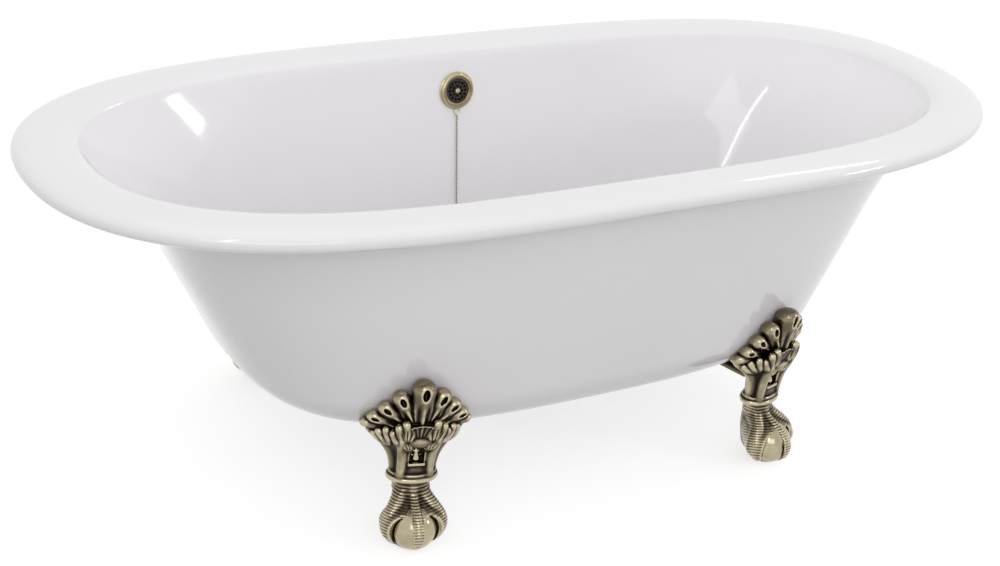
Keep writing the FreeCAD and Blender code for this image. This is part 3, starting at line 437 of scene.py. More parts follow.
# %% [markdown]
# ## Outer skin
#
# The second moulding starts just inside the rim's lip, sweeps down in a tight curve and
# leans in to its own floor. It is a closed shell like the first, with round holes in
# its floor for the waste, the hose and the bolts of the feet.

# %% Outer skin
FOOT_X, FOOT_Y, FOOT_TURN = 345.5, 293.5, 15
BOLT_REACHES = (205, 237)
BOLT_HOLE = 0.0056
HOSE_RADIUS, HOSE_HOLE = 13, 0.016


def flange_edge(raised):
    """The skin's top edge, just inside the rim's lip all round."""
    across = math.cos(math.radians(LIP_ANGLE)) ** (2 / RIM_SQUARENESS)
    inside = LINER_THICKNESS + GLUE_GAP
    end_half, side_half = RIM_END_WIDTH / 2, RIM_SIDE_WIDTH / 2
    height = RIM_MIDDLE - RIM_DEPTH / 2 * math.sin(math.radians(LIP_ANGLE)) ** (2 / RIM_SQUARENESS)
    return plan_ring(TUB_LENGTH / 2 - end_half + (end_half - inside) * across,
                     TUB_WIDTH / 2 - side_half + (side_half - inside) * across,
                     RIM_END_POWER, RIM_SIDE_POWER, height + raised)


def skin_side(inside):
    """Rings from the flange's edge round its fillet and down to the waste hole."""
    radius = FLANGE_FILLET + inside
    rings = [flange_edge(inside)]
    first = skin_ring(RIM_UNDERSIDE - FLANGE_FILLET + radius, 0, FLANGE_FILLET)
    rings += [between(rings[0], first, share) for share in (0.33, 0.67)]
    for bend in np.radians(np.linspace(90, 0, 10)):
        rings.append(skin_ring(RIM_UNDERSIDE - FLANGE_FILLET + radius * math.sin(bend), 0,
                               FLANGE_FILLET - radius * math.cos(bend)))
    heights = wall_heights(RIM_UNDERSIDE - FLANGE_FILLET, SKIN_FLOOR + inside,
                           SKIN_END_TOE - inside)
    rings += [skin_ring(height, inside) for height in heights[1:]]
    rings += floor_rings(rings[-1], 14, WASTE_HOLE)
    return np.array(rings)


def foot_place(name):
    """Where a foot stands: its own -Y axis points out of the bath."""
    side_x = 1 if name.endswith("right") else -1
    side_y = 1 if "back" in name else -1
    turn = {(1, -1): FOOT_TURN, (-1, -1): -FOOT_TURN, (1, 1): 180 - FOOT_TURN,
            (-1, 1): 180 + FOOT_TURN}[side_x, side_y]
    return (Matrix.Translation((side_x * FOOT_X * MM, side_y * FOOT_Y * MM, 0))
            @ Matrix.Rotation(math.radians(turn), 4, "Z"))


FOOT_NAMES = ["foot_front_right", "foot_front_left", "foot_back_right", "foot_back_left"]
hose_hole_y = skin_halves(SKIN_FLOOR + SKIN_THICKNESS)[1] + HOSE_RADIUS
front_rings, back_rings = skin_side(0), skin_side(SKIN_THICKNESS)
skin_rings = np.concatenate([front_rings, back_rings[::-1]]) * MM
floor_middle = 0.155
skin_cuts = [drum("hose_cut", HOSE_HOLE, 0.1,
                  Matrix.Translation((0, hose_hole_y * MM, floor_middle)))]
for name in FOOT_NAMES:
    for reach in BOLT_REACHES:
        spot = foot_place(name) @ Vector((0, reach * MM, floor_middle))
        skin_cuts.append(drum("bolt_cut", BOLT_HOLE, 0.03, Matrix.Translation(spot), 24))
outer_skin = mesh_object("outer_skin_shell", skin_rings.reshape(-1, 3),
                         ring_faces(len(skin_rings), AROUND, True))
outer_skin = crisp(with_cuts(outer_skin, skin_cuts))
print("outer skin: faces", len(outer_skin.data.polygons))
# %% [markdown]
# ## Claw feet: modelling in a field
#
# Each foot is one casting: a ball held by ringed toes, a collar, a leg with leaves and a
# fan of lobes that lies on the bath. A sculptor would press such shapes into each other,
# and polygons are poor at that. A field does it well: at every point of a grid it holds
# the distance to the nearest surface, so shapes join softly with a smooth minimum and
# are carved with a maximum. At the end a skin of quads is laid where the distance is
# zero. Each shape touches only the box of grid points around it, which keeps this quick.

# %% Clay: a field of distances
GRAIN = 1.0
FAR = 60.0


def soft_min(a, b, soft):
    if soft == 0:
        return np.minimum(a, b)
    blend = np.maximum(soft - np.abs(a - b), 0) / soft
    return np.minimum(a, b) - blend * blend * soft / 4


class Clay:
    """A block of clay in a foot's own frame, in millimetres."""

    def __init__(self, low, high):
        self.low = np.array(low, float)
        self.axes = [np.arange(a, b + GRAIN, GRAIN, dtype=np.float32) for a, b in zip(low, high)]
        self.field = np.full([len(axis) for axis in self.axes], FAR, np.float32)

    def region(self, low, high):
        """The part of the grid inside a box, as slices and three broadcast coordinates."""
        slices = tuple(slice(int(np.searchsorted(axis, a)), int(np.searchsorted(axis, b)))
                       for axis, a, b in zip(self.axes, low, high))
        x, y, z = (axis[s] for axis, s in zip(self.axes, slices))
        return slices, x[:, None, None], y[None, :, None], z[None, None, :]

    def add(self, shape, low, high, soft=0.0):
        slices, x, y, z = self.region(low, high)
        self.field[slices] = soft_min(self.field[slices], shape(x, y, z), soft)

    def carve(self, shape, low, high, soft=0.0):
        slices, x, y, z = self.region(low, high)
        self.field[slices] = -soft_min(-self.field[slices], shape(x, y, z), soft)

    def add_limb(self, points, radii, soft=0.0):
        """A round limb along points; its box comes from them."""
        points, radii = np.array(points, float), np.array(radii, float)
        margin = radii.max() + soft + 3
        self.add(limb(points, radii), points.min(0) - margin, points.max(0) + margin, soft)

    def carve_limb(self, points, radii, soft=0.0):
        points, radii = np.array(points, float), np.array(radii, float)
        margin = radii.max() + soft + 3
        self.carve(limb(points, radii), points.min(0) - margin, points.max(0) + margin, soft)


def limb(points, radii):
    """Distance to round joints along points."""

    def shape(x, y, z):
        nearest = FAR
        for a, b, ra, rb in zip(points[:-1], points[1:], radii[:-1], radii[1:]):
            d = b - a
            share = ((x - a[0]) * d[0] + (y - a[1]) * d[1] + (z - a[2]) * d[2]) / float(d @ d)
            share = np.clip(share, 0, 1)
            gap = np.sqrt((x - a[0] - share * d[0]) ** 2 + (y - a[1] - share * d[1]) ** 2
                          + (z - a[2] - share * d[2]) ** 2) - (ra + share * (rb - ra))
            nearest = np.minimum(nearest, gap)
        return nearest

    return shape


def curved(p0, p1, p2, p3, t):
    """A place between p1 and p2 on a smooth curve that also heeds their neighbours."""
    return 0.5 * (2 * p1 + (p2 - p0) * t + (2 * p0 - 5 * p1 + 4 * p2 - p3) * t * t
                  + (3 * p1 - p0 - 3 * p2 + p3) * t ** 3)


def smooth_line(points, steps):
    """Points on a smooth curve through the given ones (rows of numbers)."""
    points = np.array(points, float)
    ends = np.vstack([2 * points[0] - points[1], points, 2 * points[-1] - points[-2]])
    line = []
    for p0, p1, p2, p3 in zip(ends, ends[1:], ends[2:], ends[3:]):
        line += [curved(p0, p1, p2, p3, t) for t in np.linspace(0, 1, steps, endpoint=False)]
    return np.array(line + [points[-1]])


def ball(centre, radius, stretch=(1, 1, 1)):
    """Distance to a ball, or to an egg where it is stretched."""

    def shape(x, y, z):
        u = (x - centre[0]) / stretch[0]
        v = (y - centre[1]) / stretch[1]
        w = (z - centre[2]) / stretch[2]
        return (np.sqrt(u * u + v * v + w * w) - radius) * min(stretch)

    return shape


def block(low, high, rounding):
    """Distance to a box with rounded edges."""
    centre = [(a + b) / 2 for a, b in zip(low, high)]
    half = [(b - a) / 2 - rounding for a, b in zip(low, high)]

    def shape(x, y, z):
        u, v, w = (np.abs(c - m) - h for c, m, h in zip((x, y, z), centre, half))
        outside = np.sqrt(np.maximum(u, 0) ** 2 + np.maximum(v, 0) ** 2 + np.maximum(w, 0) ** 2)
        return outside + np.minimum(np.maximum(np.maximum(u, v), w), 0) - rounding

    return shape


def oval_side(x, y, half_width, half_depth, back):
    """How far points lie outside an upright oval bar, along the shortest way."""
    u, v = x / half_width, (y - back) / half_depth
    q = np.sqrt(u * u + v * v) + 1e-6
    return q * (q - 1) / np.sqrt((u / half_width) ** 2 + (v / half_depth) ** 2 + 1e-9)


def stem(table):
    """Distance to an upright stem: rows of height, half width, half depth, set back."""
    rows = smooth_line(table, 10)
    rows = rows[np.argsort(rows[:, 0])]

    def shape(x, y, z):
        side = oval_side(x, y, *(np.interp(z, rows[:, 0], rows[:, i]) for i in (1, 2, 3)))
        return np.maximum(side, np.maximum(rows[0, 0] - z, z - rows[-1, 0]))

    return shape


def hoop(half_width, half_depth, back, height, thickness, rounding):
    """Distance to an oval hoop round the leg with a rounded rectangular section."""

    def shape(x, y, z):
        side = oval_side(x, y, half_width, half_depth, back) + rounding
        rise = np.abs(z - height) - thickness / 2 + rounding
        outside = np.sqrt(np.maximum(side, 0) ** 2 + np.maximum(rise, 0) ** 2)
        return outside + np.minimum(np.maximum(side, rise), 0) - rounding

    return shape


def skin_over(clay):
    """Points and quads on the zero level of the field: one point per cell that it crosses."""
    field = clay.field
    inside = field < 0
    count = np.zeros([n - 1 for n in field.shape], np.int8)
    corners = [(i, j, k) for i in (0, 1) for j in (0, 1) for k in (0, 1)]
    nx, ny, nz = count.shape
    for i, j, k in corners:
        count += inside[i:nx + i, j:ny + j, k:nz + k]
    active = (count > 0) & (count < 8)
    cells = np.argwhere(active)
    number = np.full(active.shape, -1, np.int32)
    number[active] = np.arange(len(cells))
    total = np.zeros((len(cells), 3))
    crossings = np.zeros(len(cells))
    for i, j, k in corners:
        for axis in range(3):
            start = np.array((i, j, k))
            if start[axis] == 1:
                continue
            end = start.copy()
            end[axis] = 1
            fa = field[tuple((cells + start).T)].astype(float)
            fb = field[tuple((cells + end).T)].astype(float)
            crossed = (fa < 0) != (fb < 0)
            share = np.where(crossed, fa / np.where(crossed, fa - fb, 1), 0)
            total += crossed[:, None] * (start + share[:, None] * (end - start))
            crossings += crossed
    points = clay.low + (cells + total / crossings[:, None]) * GRAIN
    quads = []
    for axis in range(3):
        one, two = [a for a in range(3) if a != axis]
        ahead = tuple(slice(1, None) if a == axis else slice(None) for a in range(3))
        here = tuple(slice(None, -1) if a == axis else slice(None) for a in range(3))
        edges = np.argwhere(inside[ahead] != inside[here])
        within = [(edges[:, a] > 0) & (edges[:, a] < field.shape[a] - 1) for a in (one, two)]
        edges = edges[within[0] & within[1]]
        around = []
        for step_one, step_two in ((-1, -1), (0, -1), (0, 0), (-1, 0)):
            cell = edges.copy()
            cell[:, one] += step_one
            cell[:, two] += step_two
            around.append(number[tuple(cell.T)])
        quad = np.stack(around, axis=1)
        flip = inside[tuple(edges.T)] == (axis == 1)
        quad[flip] = quad[flip][:, ::-1]
        quads.append(quad)
    return points, np.concatenate(quads)


print("grain of the clay", GRAIN, "mm")

# %% [markdown]
# ## Claw feet: the casting
#
# The foot is built from the floor up. The ankle opens like a trumpet over the ball, and
# grooves run across it every few millimetres, like the scales on a bird's leg. Two
# arched windows cut through the trumpet leave the toes standing between them, with the
# smooth ball behind. The fan's lobes use a trick: their depth is measured from the
# bath's own face, so they follow its curve, and a final cut by that face makes the
# casting fit it.

# %% Ball, toes and ankle
BALL_RADIUS, BALL_HEIGHT = 36.0, 35.0
RING_PITCH, RING_DEPTH = 5.2, 1.15
NECK_TOP = 102.0
LEG_BACK = 37.0
CLAY_LOW, CLAY_HIGH = (-100, -58, -3), (100, 112, 292)
WINDOW_REACH, WINDOW_HEIGHT, WINDOW_TURN = 46, 26, 42
WINDOW_DEPTH, WINDOW_WIDTH, WINDOW_RISE = 26, 20.5, 54
WINDOW_REBATE = 3.5


def ring_relief(x, y, z):
    """Grooves across the ankle and the toes: level round the neck, sinking to the heel."""
    out = np.sqrt(x * x + (y - LEG_BACK) ** 2)
    run = NECK_TOP - z + 0.6 * np.maximum(out - 26, 0)
    fade = np.clip((NECK_TOP - z) / 3, 0, 1) * np.clip((z - 12) / 10, 0, 1)
    return RING_DEPTH * fade * (0.6 - np.abs(np.sin(math.pi * run / RING_PITCH)) ** 0.7)


def window(turn, grown=0.0):
    """Distance to an upright egg on the ball's face, turned from the front."""
    sine, cosine = math.sin(turn), math.cos(turn)

    def shape(x, y, z):
        outward = (x * sine - y * cosine - WINDOW_REACH) / (WINDOW_DEPTH + grown)
        aside = (x * cosine + y * sine) / (WINDOW_WIDTH + grown)
        rise = (z - WINDOW_HEIGHT) / (WINDOW_RISE + grown)
        return (np.sqrt(outward ** 2 + aside ** 2 + rise ** 2) - 1) * WINDOW_WIDTH

    return shape


def add_claws(clay):
    """The ankle with its toes and heel, grooved, opened by two windows, and the ball."""
    ankle = [(0, 20, 20, 8), (6, 27, 27, 6), (12, 34, 34, 5.5), (20, 42.5, 42, 6),
             (30, 49, 46.5, 7.5), (40, 51.5, 48.5, 9), (48, 51.5, 48, 11.5), (56, 49, 45.5, 14.5),
             (64, 43.5, 39.5, 21), (72, 36, 30.5, 29.5), (80, 31, 24, 35),
             (90, 29.3, 21, LEG_BACK), (106, 29.3, 21, LEG_BACK)]
    trumpet = stem(ankle)

    def slim_behind(x, y, z):
        """The trumpet, narrower behind the ball, where the heel comes down."""
        squeeze = 0.65 * np.clip((y - 12) / 34, 0, 1) * np.clip((84 - z) / 16, 0, 1)
        return trumpet(x * (1 + squeeze), y, z) / (1 + 0.5 * squeeze)

    clay.add(slim_behind, (-60, -50, 0), (60, 80, 110))
    toes = [
        [(0, 25, 92, 9), (0, 21, 81, 9), (0, 10, 72, 9), (0, -7, 65, 9), (0, -21, 57.5, 9),
         (0, -30.5, 48, 8.8), (0, -33.5, 38, 8.4), (0, -31.5, 25, 7.4), (0, -26, 15, 5.5)],
        [(0, 38, 98, 20), (0, 39, 80, 21), (0, 39.5, 60, 20.5), (0, 38.5, 40, 19.2),
         (0, 37, 24, 18.2), (0, 34, 14.5, 14)]]
    toes += [[(side * 10, 36, 97, 13), (side * 12.5, 33, 84, 14), (side * 18, 24, 74, 14),
              (side * 28.5, 10, 64, 13), (side * 37.5, 2, 53, 12.5), (side * 40.5, -1, 42, 12),
              (side * 39, 0, 30, 11), (side * 34, 0, 20, 9), (side * 28, 1, 12, 7)]
             for side in (-1, 1)]
    for toe in toes:
        rows = smooth_line(toe, 6)
        clay.add_limb(rows[:, :3], rows[:, 3], 3.5)
    slices, x, y, z = clay.region((-62, -56, 0), (62, 82, NECK_TOP + 2))
    clay.field[slices] += ring_relief(x, y, z)
    for side in (-1, 1):
        turn = side * math.radians(WINDOW_TURN)
        opening, wider = window(turn), window(turn, WINDOW_REBATE)
        clay.carve(opening, (-62, -56, 0), (62, 26, 84), 2)
        shell = ball((0, 0, BALL_HEIGHT), BALL_RADIUS + 3)
        clay.carve(lambda x, y, z: np.maximum(wider(x, y, z), shell(x, y, z)),
                   (-62, -56, 0), (62, 32, 88), 0.8)
    clay.add(ball((0, 0, BALL_HEIGHT), BALL_RADIUS), (-45, -45, -2), (45, 45, 80))


# %% Collar and leg
COLLAR_HEIGHT = 107.5


def add_leg(clay):
    """The collar, the leg, its recess with a small relief, the pillars and the web behind."""
    leg = [(102, 34.5, 23, 37.5), (118, 33.5, 21.5, 37.5), (132, 34, 21.5, 38), (146, 35.5, 23, 38),
           (158, 39.5, 26, 38), (168, 45, 31, 37.5), (177, 52, 35.5, 37.5), (186, 58, 37, 39),
           (196, 50, 31, 43), (206, 34, 20, 47)]
    clay.add(stem(leg), (-70, -10, 101), (70, 100, 208), 2)
    clay.add(hoop(41, 28, LEG_BACK, COLLAR_HEIGHT, 9.5, 4), (-46, 2, 98), (46, 72, 118), 1.2)
    clay.add(hoop(37.2, 24.8, LEG_BACK, COLLAR_HEIGHT + 7, 6, 2.6), (-44, 5, 106), (44, 70, 122), 2)
    for side in (-1, 1):
        pillar = [(side * 21.5, 22.5, 116, 7.5), (side * 21.5, 21, 138, 8),
                  (side * 23, 18, 158, 8.5), (side * 26, 12, 176, 9), (side * 29, 7, 190, 8)]
        rows = smooth_line(pillar, 5)
        clay.add_limb(rows[:, :3], rows[:, 3], 4)
        groove = [(side * 31.5, 19, 120, 1.6), (side * 33, 16.5, 142, 2.2),
                  (side * 37, 11, 163, 2.6), (side * 44, 5, 182, 2.8)]
        rows = smooth_line(groove, 5)
        clay.carve_limb(rows[:, :3], rows[:, 3], 1.8)
        wing = [(side * 33, 37, 122, 3), (side * 37, 36, 145, 5), (side * 45, 36, 166, 8),
                (side * 56, 39, 179, 9), (side * 68, 46, 188, 8)]
        rows = smooth_line(wing, 6)
        clay.add_limb(rows[:, :3], rows[:, 3], 9)
    clay.add(block((-16, 17.5, 118), (16, 34, 170), 3), (-20, 8, 112), (20, 38, 176), 4)
    clay.add(block((-13.5, 13, 133), (13.5, 30, 138.5), 2), (-18, 8, 128), (18, 34, 144), 1.5)
    clay.carve(block((-11.5, -2, 138.5), (11.5, 24, 171), 1.5), (-18, -6, 132), (18, 28, 176), 0.8)
    clay.add_limb([(0, 25, 161), (0, 24, 143.5)], [1.4, 6.5], 0.8)
    for half, height in ((10, 139.5), (6.5, 149), (4, 156)):
        clay.add_limb([(-half, 23.5, height), (half, 23.5, height)], [1.6, 1.6], 0.8)
    clay.add(block((-6, 37, 147), (6, 108, 213), 1), (-10, 33, 144), (10, 112, 216), 1)


# %% Leaves round the top of the leg
def add_leaf(clay, base, tips, thick):
    """Overlapping blades that spread from a base, each with a groove down its middle."""
    base = np.array(base, float)
    for tip in tips:
        tip = np.array(tip, float)
        bend = base + 0.55 * (tip - base) + (0, -2.5, 0)
        rows = smooth_line([base, bend, tip], 6)
        swell = np.sin(np.linspace(0.5, 2.5, len(rows)))
        clay.add_limb(rows, thick * (0.35 + 0.75 * swell), 0.5)
        vein = rows[2:-2] + (0, -thick * 1.02, 0)
        clay.carve_limb(vein, np.full(len(vein), 0.9), 0.8)


def add_leaves(clay):
    """The shield in the middle, a pair of broad leaves beside it and a pair round the sides."""
    for side in (-1, 1):
        add_leaf(clay, (side * 38, 26, 170), [(side * 64, 36, 184), (side * 60, 26, 193),
                                             (side * 51, 16, 200)], 7.4)
        add_leaf(clay, (side * 20, 20, 168), [(side * 41, 10, 196), (side * 34, 4, 208),
                                             (side * 24, 2, 214), (side * 14, 6, 206)], 8.4)
        add_leaf(clay, (side * 14, 19, 160), [(side * 17, 8, 181), (side * 26, 7, 184)], 6.4)

    def shield(x, y, z):
        rise = z - 172
        face = 13.5 - 0.27 * rise
        turn = np.arctan2(np.abs(x), rise + 1e-6)
        radius = np.sqrt(x * x + rise * rise)
        outline = np.maximum(radius * np.sin(turn - math.radians(25)), radius - 41.0)
        veins = 0.7 * np.cos(turn * 28) * np.clip((radius - 8) / 10, 0, 1)
        rim = np.clip(3.0 + outline, 0, 1.5)
        depth = np.abs(y - face) - 5.0 - rim + 0.8 - veins
        return np.maximum(outline, depth)

    clay.add(shield, (-24, -16, 168), (24, 24, 218), 1)


# %% Fan of lobes on the bath's face
FAN_ROOT_HEIGHT = 186.0
FAN_RISE = 83.0
FAN_SPREAD = 80.0
FAN_CROWDING = 1.35
FAN_WAIST = 0.16
LOBE_PAIRS = 4
LOBE_RADIUS, LAST_LOBE_RADIUS = 17.0, 9.0
LOBE_STAND_OFF, ROOT_STAND_OFF = 1.3, 27.0


def bath_distance(clay, place):
    """How far every grid point lies outside the bath's outer skin."""
    x, y, z = clay.axes
    world = np.array(place)[:2, :2]
    wx = world[0, 0] * x[:, None, None] + world[0, 1] * y[None, :, None] + place[0][3] / MM
    wy = world[1, 0] * x[:, None, None] + world[1, 1] * y[None, :, None] + place[1][3] / MM
    halves = np.array([skin_halves(max(float(h), SKIN_FLOOR)) for h in z])
    power = np.array([skin_power(max(float(h), SKIN_FLOOR)) for h in z])[None, None, :]
    u, v = np.abs(wx) / halves[None, None, :, 0], np.abs(wy) / halves[None, None, :, 1]
    level = ((u ** power + v ** power) ** (1 / power) - 1).astype(np.float32)
    steep = np.sqrt(sum(g * g for g in np.gradient(level, GRAIN))) + 1e-5
    gap = level / steep
    below = np.maximum(SKIN_FLOOR - z, 0)[None, None, :]
    slanting = np.sqrt(np.maximum(gap, 0) ** 2 + below ** 2)
    return np.where(below > 0, slanting, gap).astype(np.float32)


def add_fan(clay, away):
    """Nine spoon-shaped lobes: flutes down to the root, and a dimple near the round end of all but the outer
    two.
    """
    for step in sorted(range(-LOBE_PAIRS, LOBE_PAIRS + 1), key=lambda s: -abs(s)):
        share = abs(step) / LOBE_PAIRS
        turn = math.radians(math.copysign(FAN_SPREAD * (1 - (1 - share) ** FAN_CROWDING), step))
        reach = FAN_RISE * (1 - FAN_WAIST * math.sin(2 * abs(turn)))
        radius = between(LOBE_RADIUS, LAST_LOBE_RADIUS, share ** 0.6)
        broad = radius * (1.12 if step == 0 else 1.04)
        tip = np.array([reach * math.sin(turn), reach * math.cos(turn)])
        unit = tip / reach
        low = (min(0, tip[0]) - radius - 14, -56, FAN_ROOT_HEIGHT + min(0, tip[1]) - radius - 14)
        high = (max(0, tip[0]) + radius + 14, 110, FAN_ROOT_HEIGHT + max(0, tip[1]) + radius + 14)
        slices, x, y, z = clay.region(low, high)
        out = away[slices]
        rise = z - FAN_ROOT_HEIGHT
        along = x * unit[0] + rise * unit[1]
        aside = x * unit[1] - rise * unit[0]
        part = np.clip(along / reach, 0, 1)
        wide = between(0.55 * broad, broad, part ** 0.8)
        proud = between(ROOT_STAND_OFF, LOBE_STAND_OFF * radius, part ** 0.7)
        past = along - np.clip(along, 0, reach)
        tall = wide * radius / broad
        inward = (np.maximum(out - proud, 0) / tall
                  + np.minimum(out - proud, 0) / (tall + proud * 0.3))
        lobe = (np.sqrt((aside / wide) ** 2 + (past / tall) ** 2 + inward ** 2) - 1) * tall
        flute = np.cos(aside / wide * math.pi * 2.3) * np.clip(1 - np.abs(past) / 4, 0, 1)
        lobe = lobe - 1.15 * flute * np.clip((reach * 0.82 - along) / (reach * 0.2), 0, 1)
        clay.field[slices] = soft_min(clay.field[slices], lobe, 1.0)
        if abs(step) < LOBE_PAIRS:
            dimple = np.sqrt((aside / 0.58) ** 2 + ((along - reach + radius * 0.08) / 1.15) ** 2
                             + ((out - proud - radius * 1.06) / 1.05) ** 2) - radius * 0.58
            clay.field[slices] = -soft_min(-clay.field[slices], dimple * 0.6, 1.0)


print("fan: nine lobes, root at", FAN_ROOT_HEIGHT, "mm")


# %% [markdown]
# ## Claw feet: from clay to four castings
#
# One foot is modelled and the other three are its mirror images, as the foundry's two
# patterns would give. A number on every point says whether it stands proud of its
# surroundings or lies in a hollow. The brass reads it: hollows stay dark and edges are
# rubbed bright. Smoothing a copy of the mesh and comparing finds that number. The ball is
# set brighter than its shape tells, partly as polish and partly as a painted sheen, and the
# leg and the fan above are painted darker towards the top, as painted shade.

# %% Relief of a mesh
def neighbour_mean(points, edges, rounds):
    """Points moved to the mean of their neighbours, again and again."""
    ends = np.concatenate([edges, edges[:, ::-1]])
    count = np.bincount(ends[:, 0], minlength=len(points))[:, None]
    for _ in range(rounds):
        total = np.stack([np.bincount(ends[:, 0], weights=points[ends[:, 1], axis],
                                      minlength=len(points)) for axis in range(3)], axis=1)
        points = 0.4 * points + 0.6 * total / np.maximum(count, 1)
    return points


def mesh_arrays(mesh):
    points = np.zeros(len(mesh.vertices) * 3)
    mesh.vertices.foreach_get("co", points)
    edges = np.zeros(len(mesh.edges) * 2, np.int32)
    mesh.edges.foreach_get("vertices", edges)
    normals = np.zeros(len(mesh.vertices) * 3)
    mesh.vertices.foreach_get("normal", normals)
    return points.reshape(-1, 3), edges.reshape(-1, 2), normals.reshape(-1, 3)


def mark_relief(obj, fine, broad, full):
    """Writes how proud each point stands, -1 in hollows and 1 on ridges, as an attribute."""
    points, edges, normals = mesh_arrays(obj.data)
    near = neighbour_mean(points, edges, fine)
    wide = neighbour_mean(near, edges, broad)
    proud = ((points - near) * normals).sum(1) * 1.6 + ((near - wide) * normals).sum(1)
    relief = np.clip(proud / full, -1, 1).astype(np.float32)
    attribute = obj.data.attributes.new("relief", "FLOAT", "POINT")
    attribute.data.foreach_set("value", relief)
    return obj


# The ball takes one brighter tone: partly polish, partly a painted sheen.
BALL_POLISH_AND_SHEEN = 0.45
# Painted shade on the leg and the fan: rows of start height and fade in mm, and how much darker.
PAINTED_SHADE_ABOVE = ((110, 10, 0.10), (180, 20, 0.18))


def polish_and_painted_shade(obj):
    """Brightens the ball, partly as polish and partly as a painted sheen, and paints the leg and the fan
    above darker, as painted shade.
    """
    points, _, _ = mesh_arrays(obj.data)
    centre = np.array((0, 0, BALL_HEIGHT)) * MM
    on_ball = np.linalg.norm(points - centre, axis=1) < (BALL_RADIUS + 0.5) * MM
    relief = np.zeros(len(points), np.float32)
    attribute = obj.data.attributes["relief"]
    attribute.data.foreach_get("value", relief)
    # Painted shade: the number is lowered above each start height, so these parts come out darker.
    for start, fade, painted_darkening in PAINTED_SHADE_ABOVE:
        relief -= painted_darkening * np.clip((points[:, 2] / MM - start) / fade, 0, 1)
    # The ball gets one brighter number: polish and a painted sheen.
    relief = np.where(on_ball, BALL_POLISH_AND_SHEEN, relief)
    attribute.data.foreach_set("value", relief.astype(np.float32))


# %% Model one foot, then mirror it
def foot_clay():
    clay = Clay(CLAY_LOW, CLAY_HIGH)
    away = bath_distance(clay, foot_place("foot_front_right"))
    add_claws(clay)
    add_leg(clay)
    add_fan(clay, away)
    add_leaves(clay)
    clay.field = np.maximum(clay.field, 0.5 - away)
    clay.field = np.maximum(clay.field, -clay.axes[2][None, None, :])
    return clay


def bracket():
    """The flat tongue under the bath's floor, drilled for two bolts."""
    thick, half, start, end = 7, 33, 39, 262
    top = SKIN_FLOOR
    work = bmesh.new()
    place = Matrix.Translation((0, (start + end) / 2 * MM, (top - thick / 2) * MM))
    size = Matrix.Diagonal((2 * half * MM, (end - start) * MM, thick * MM, 1))
    bmesh.ops.create_cube(work, size=1, matrix=place @ size)
    upright = [e for e in work.edges if abs(e.verts[0].co.z - e.verts[1].co.z) > 0.001]
    bmesh.ops.bevel(work, geom=upright, offset=0.012, segments=6, affect="EDGES")
    bmesh.ops.bevel(work, geom=work.edges[:], offset=0.0012, segments=2, affect="EDGES",
                    clamp_overlap=True)
    middle = (top - thick / 2) * MM
    holes = [drum("hole", BOLT_HOLE, 0.03, Matrix.Translation((0, reach * MM, middle)), 24)
             for reach in BOLT_REACHES]
    return with_cuts(bmesh_object("bracket", work), holes)


def thinned(obj, triangles):
    """Fewer triangles where the surface is plain, and as many as before where it is carved."""
    change = obj.modifiers.new("thin", "DECIMATE")
    change.ratio = triangles / (2 * len(obj.data.polygons))
    return evaluated(obj)


CASTING_TRIANGLES = 180000
clay = foot_clay()
foot_points, foot_quads = skin_over(clay)
print("foot casting: points", len(foot_points), "quads", len(foot_quads))
casting = mesh_object("casting", foot_points * MM, foot_quads)
points, edges, _ = mesh_arrays(casting.data)
points = neighbour_mean(points, edges, 1)
casting.data.vertices.foreach_set("co", points.ravel())
casting.data.update()
mark_relief(casting, 3, 30, 0.0009)
polish_and_painted_shade(casting)
casting = thinned(casting, CASTING_TRIANGLES)
print("casting thinned to", len(casting.data.polygons), "faces",
      [a.name for a in casting.data.attributes if a.name == "relief"])
bracket_piece = bracket()
bracket_piece.data.attributes.new("relief", "FLOAT", "POINT")


def foot_object(name, place, mirror):
    """A casting with its bracket, placed; a mirror image is turned right side out."""
    work = bmesh.new()
    for piece in (casting, bracket_piece):
        work.from_mesh(piece.data)
    bmesh.ops.transform(work, matrix=mirror @ place, verts=work.verts)
    if mirror.determinant() < 0:
        bmesh.ops.reverse_faces(work, faces=work.faces[:])
    return crisp(bmesh_object(name, work), 50)


feet = {}
for name in FOOT_NAMES:
    side_x, side_y = 1 if name.endswith("right") else -1, 1 if "front" in name else -1
    mirror = Matrix.Diagonal((side_x, side_y, 1, 1))
    feet[name] = foot_object("claw_" + name, foot_place("foot_front_right"), mirror)
for piece in (casting, bracket_piece):
    bpy.data.objects.remove(piece, do_unlink=True)
print("feet:", {name: len(obj.data.polygons) for name, obj in feet.items()})
# %% [markdown]
# ## Ball chain
#
# A ball chain is a row of small hollow balls on short wires. Every ball is alike and
# they all follow one line, which is a job for Geometry Nodes: the tree steps along the
# line at the chain's pitch, sets a ball on each step and runs a thin wire through them.
# Sizes are inputs of the tree, so the same tree would make any other ball chain.


# %% A tree of nodes, from a list of links
def new_tree(name, kind, inputs, outputs):
    """An empty node group with named sockets: lists of (name, type, default or None)."""
    tree = bpy.data.node_groups.new(name, kind)
    for label, socket_type, value in inputs:
        socket = tree.interface.new_socket(label, in_out="INPUT", socket_type=socket_type)
        if value is not None:
            socket.default_value = value
    for label, socket_type in outputs:
        tree.interface.new_socket(label, in_out="OUTPUT", socket_type=socket_type)
    return tree, tree.nodes.new("NodeGroupInput"), tree.nodes.new("NodeGroupOutput")


def node(tree, kind, links=None, **settings):
    """A node with its own settings, and its inputs linked to sockets or set to values."""
    made = tree.nodes.new(kind)
    for key, value in settings.items():
        setattr(made, key, value)
    for key, value in (links or {}).items():
        if isinstance(value, bpy.types.NodeSocket):
            tree.links.new(value, made.inputs[key])
        else:
            made.inputs[key].default_value = value
    return made


def maths(tree, operation, *values):
    """The result of a sum on sockets and numbers."""
    return node(tree, "ShaderNodeMath", dict(enumerate(values)), operation=operation).outputs[0]


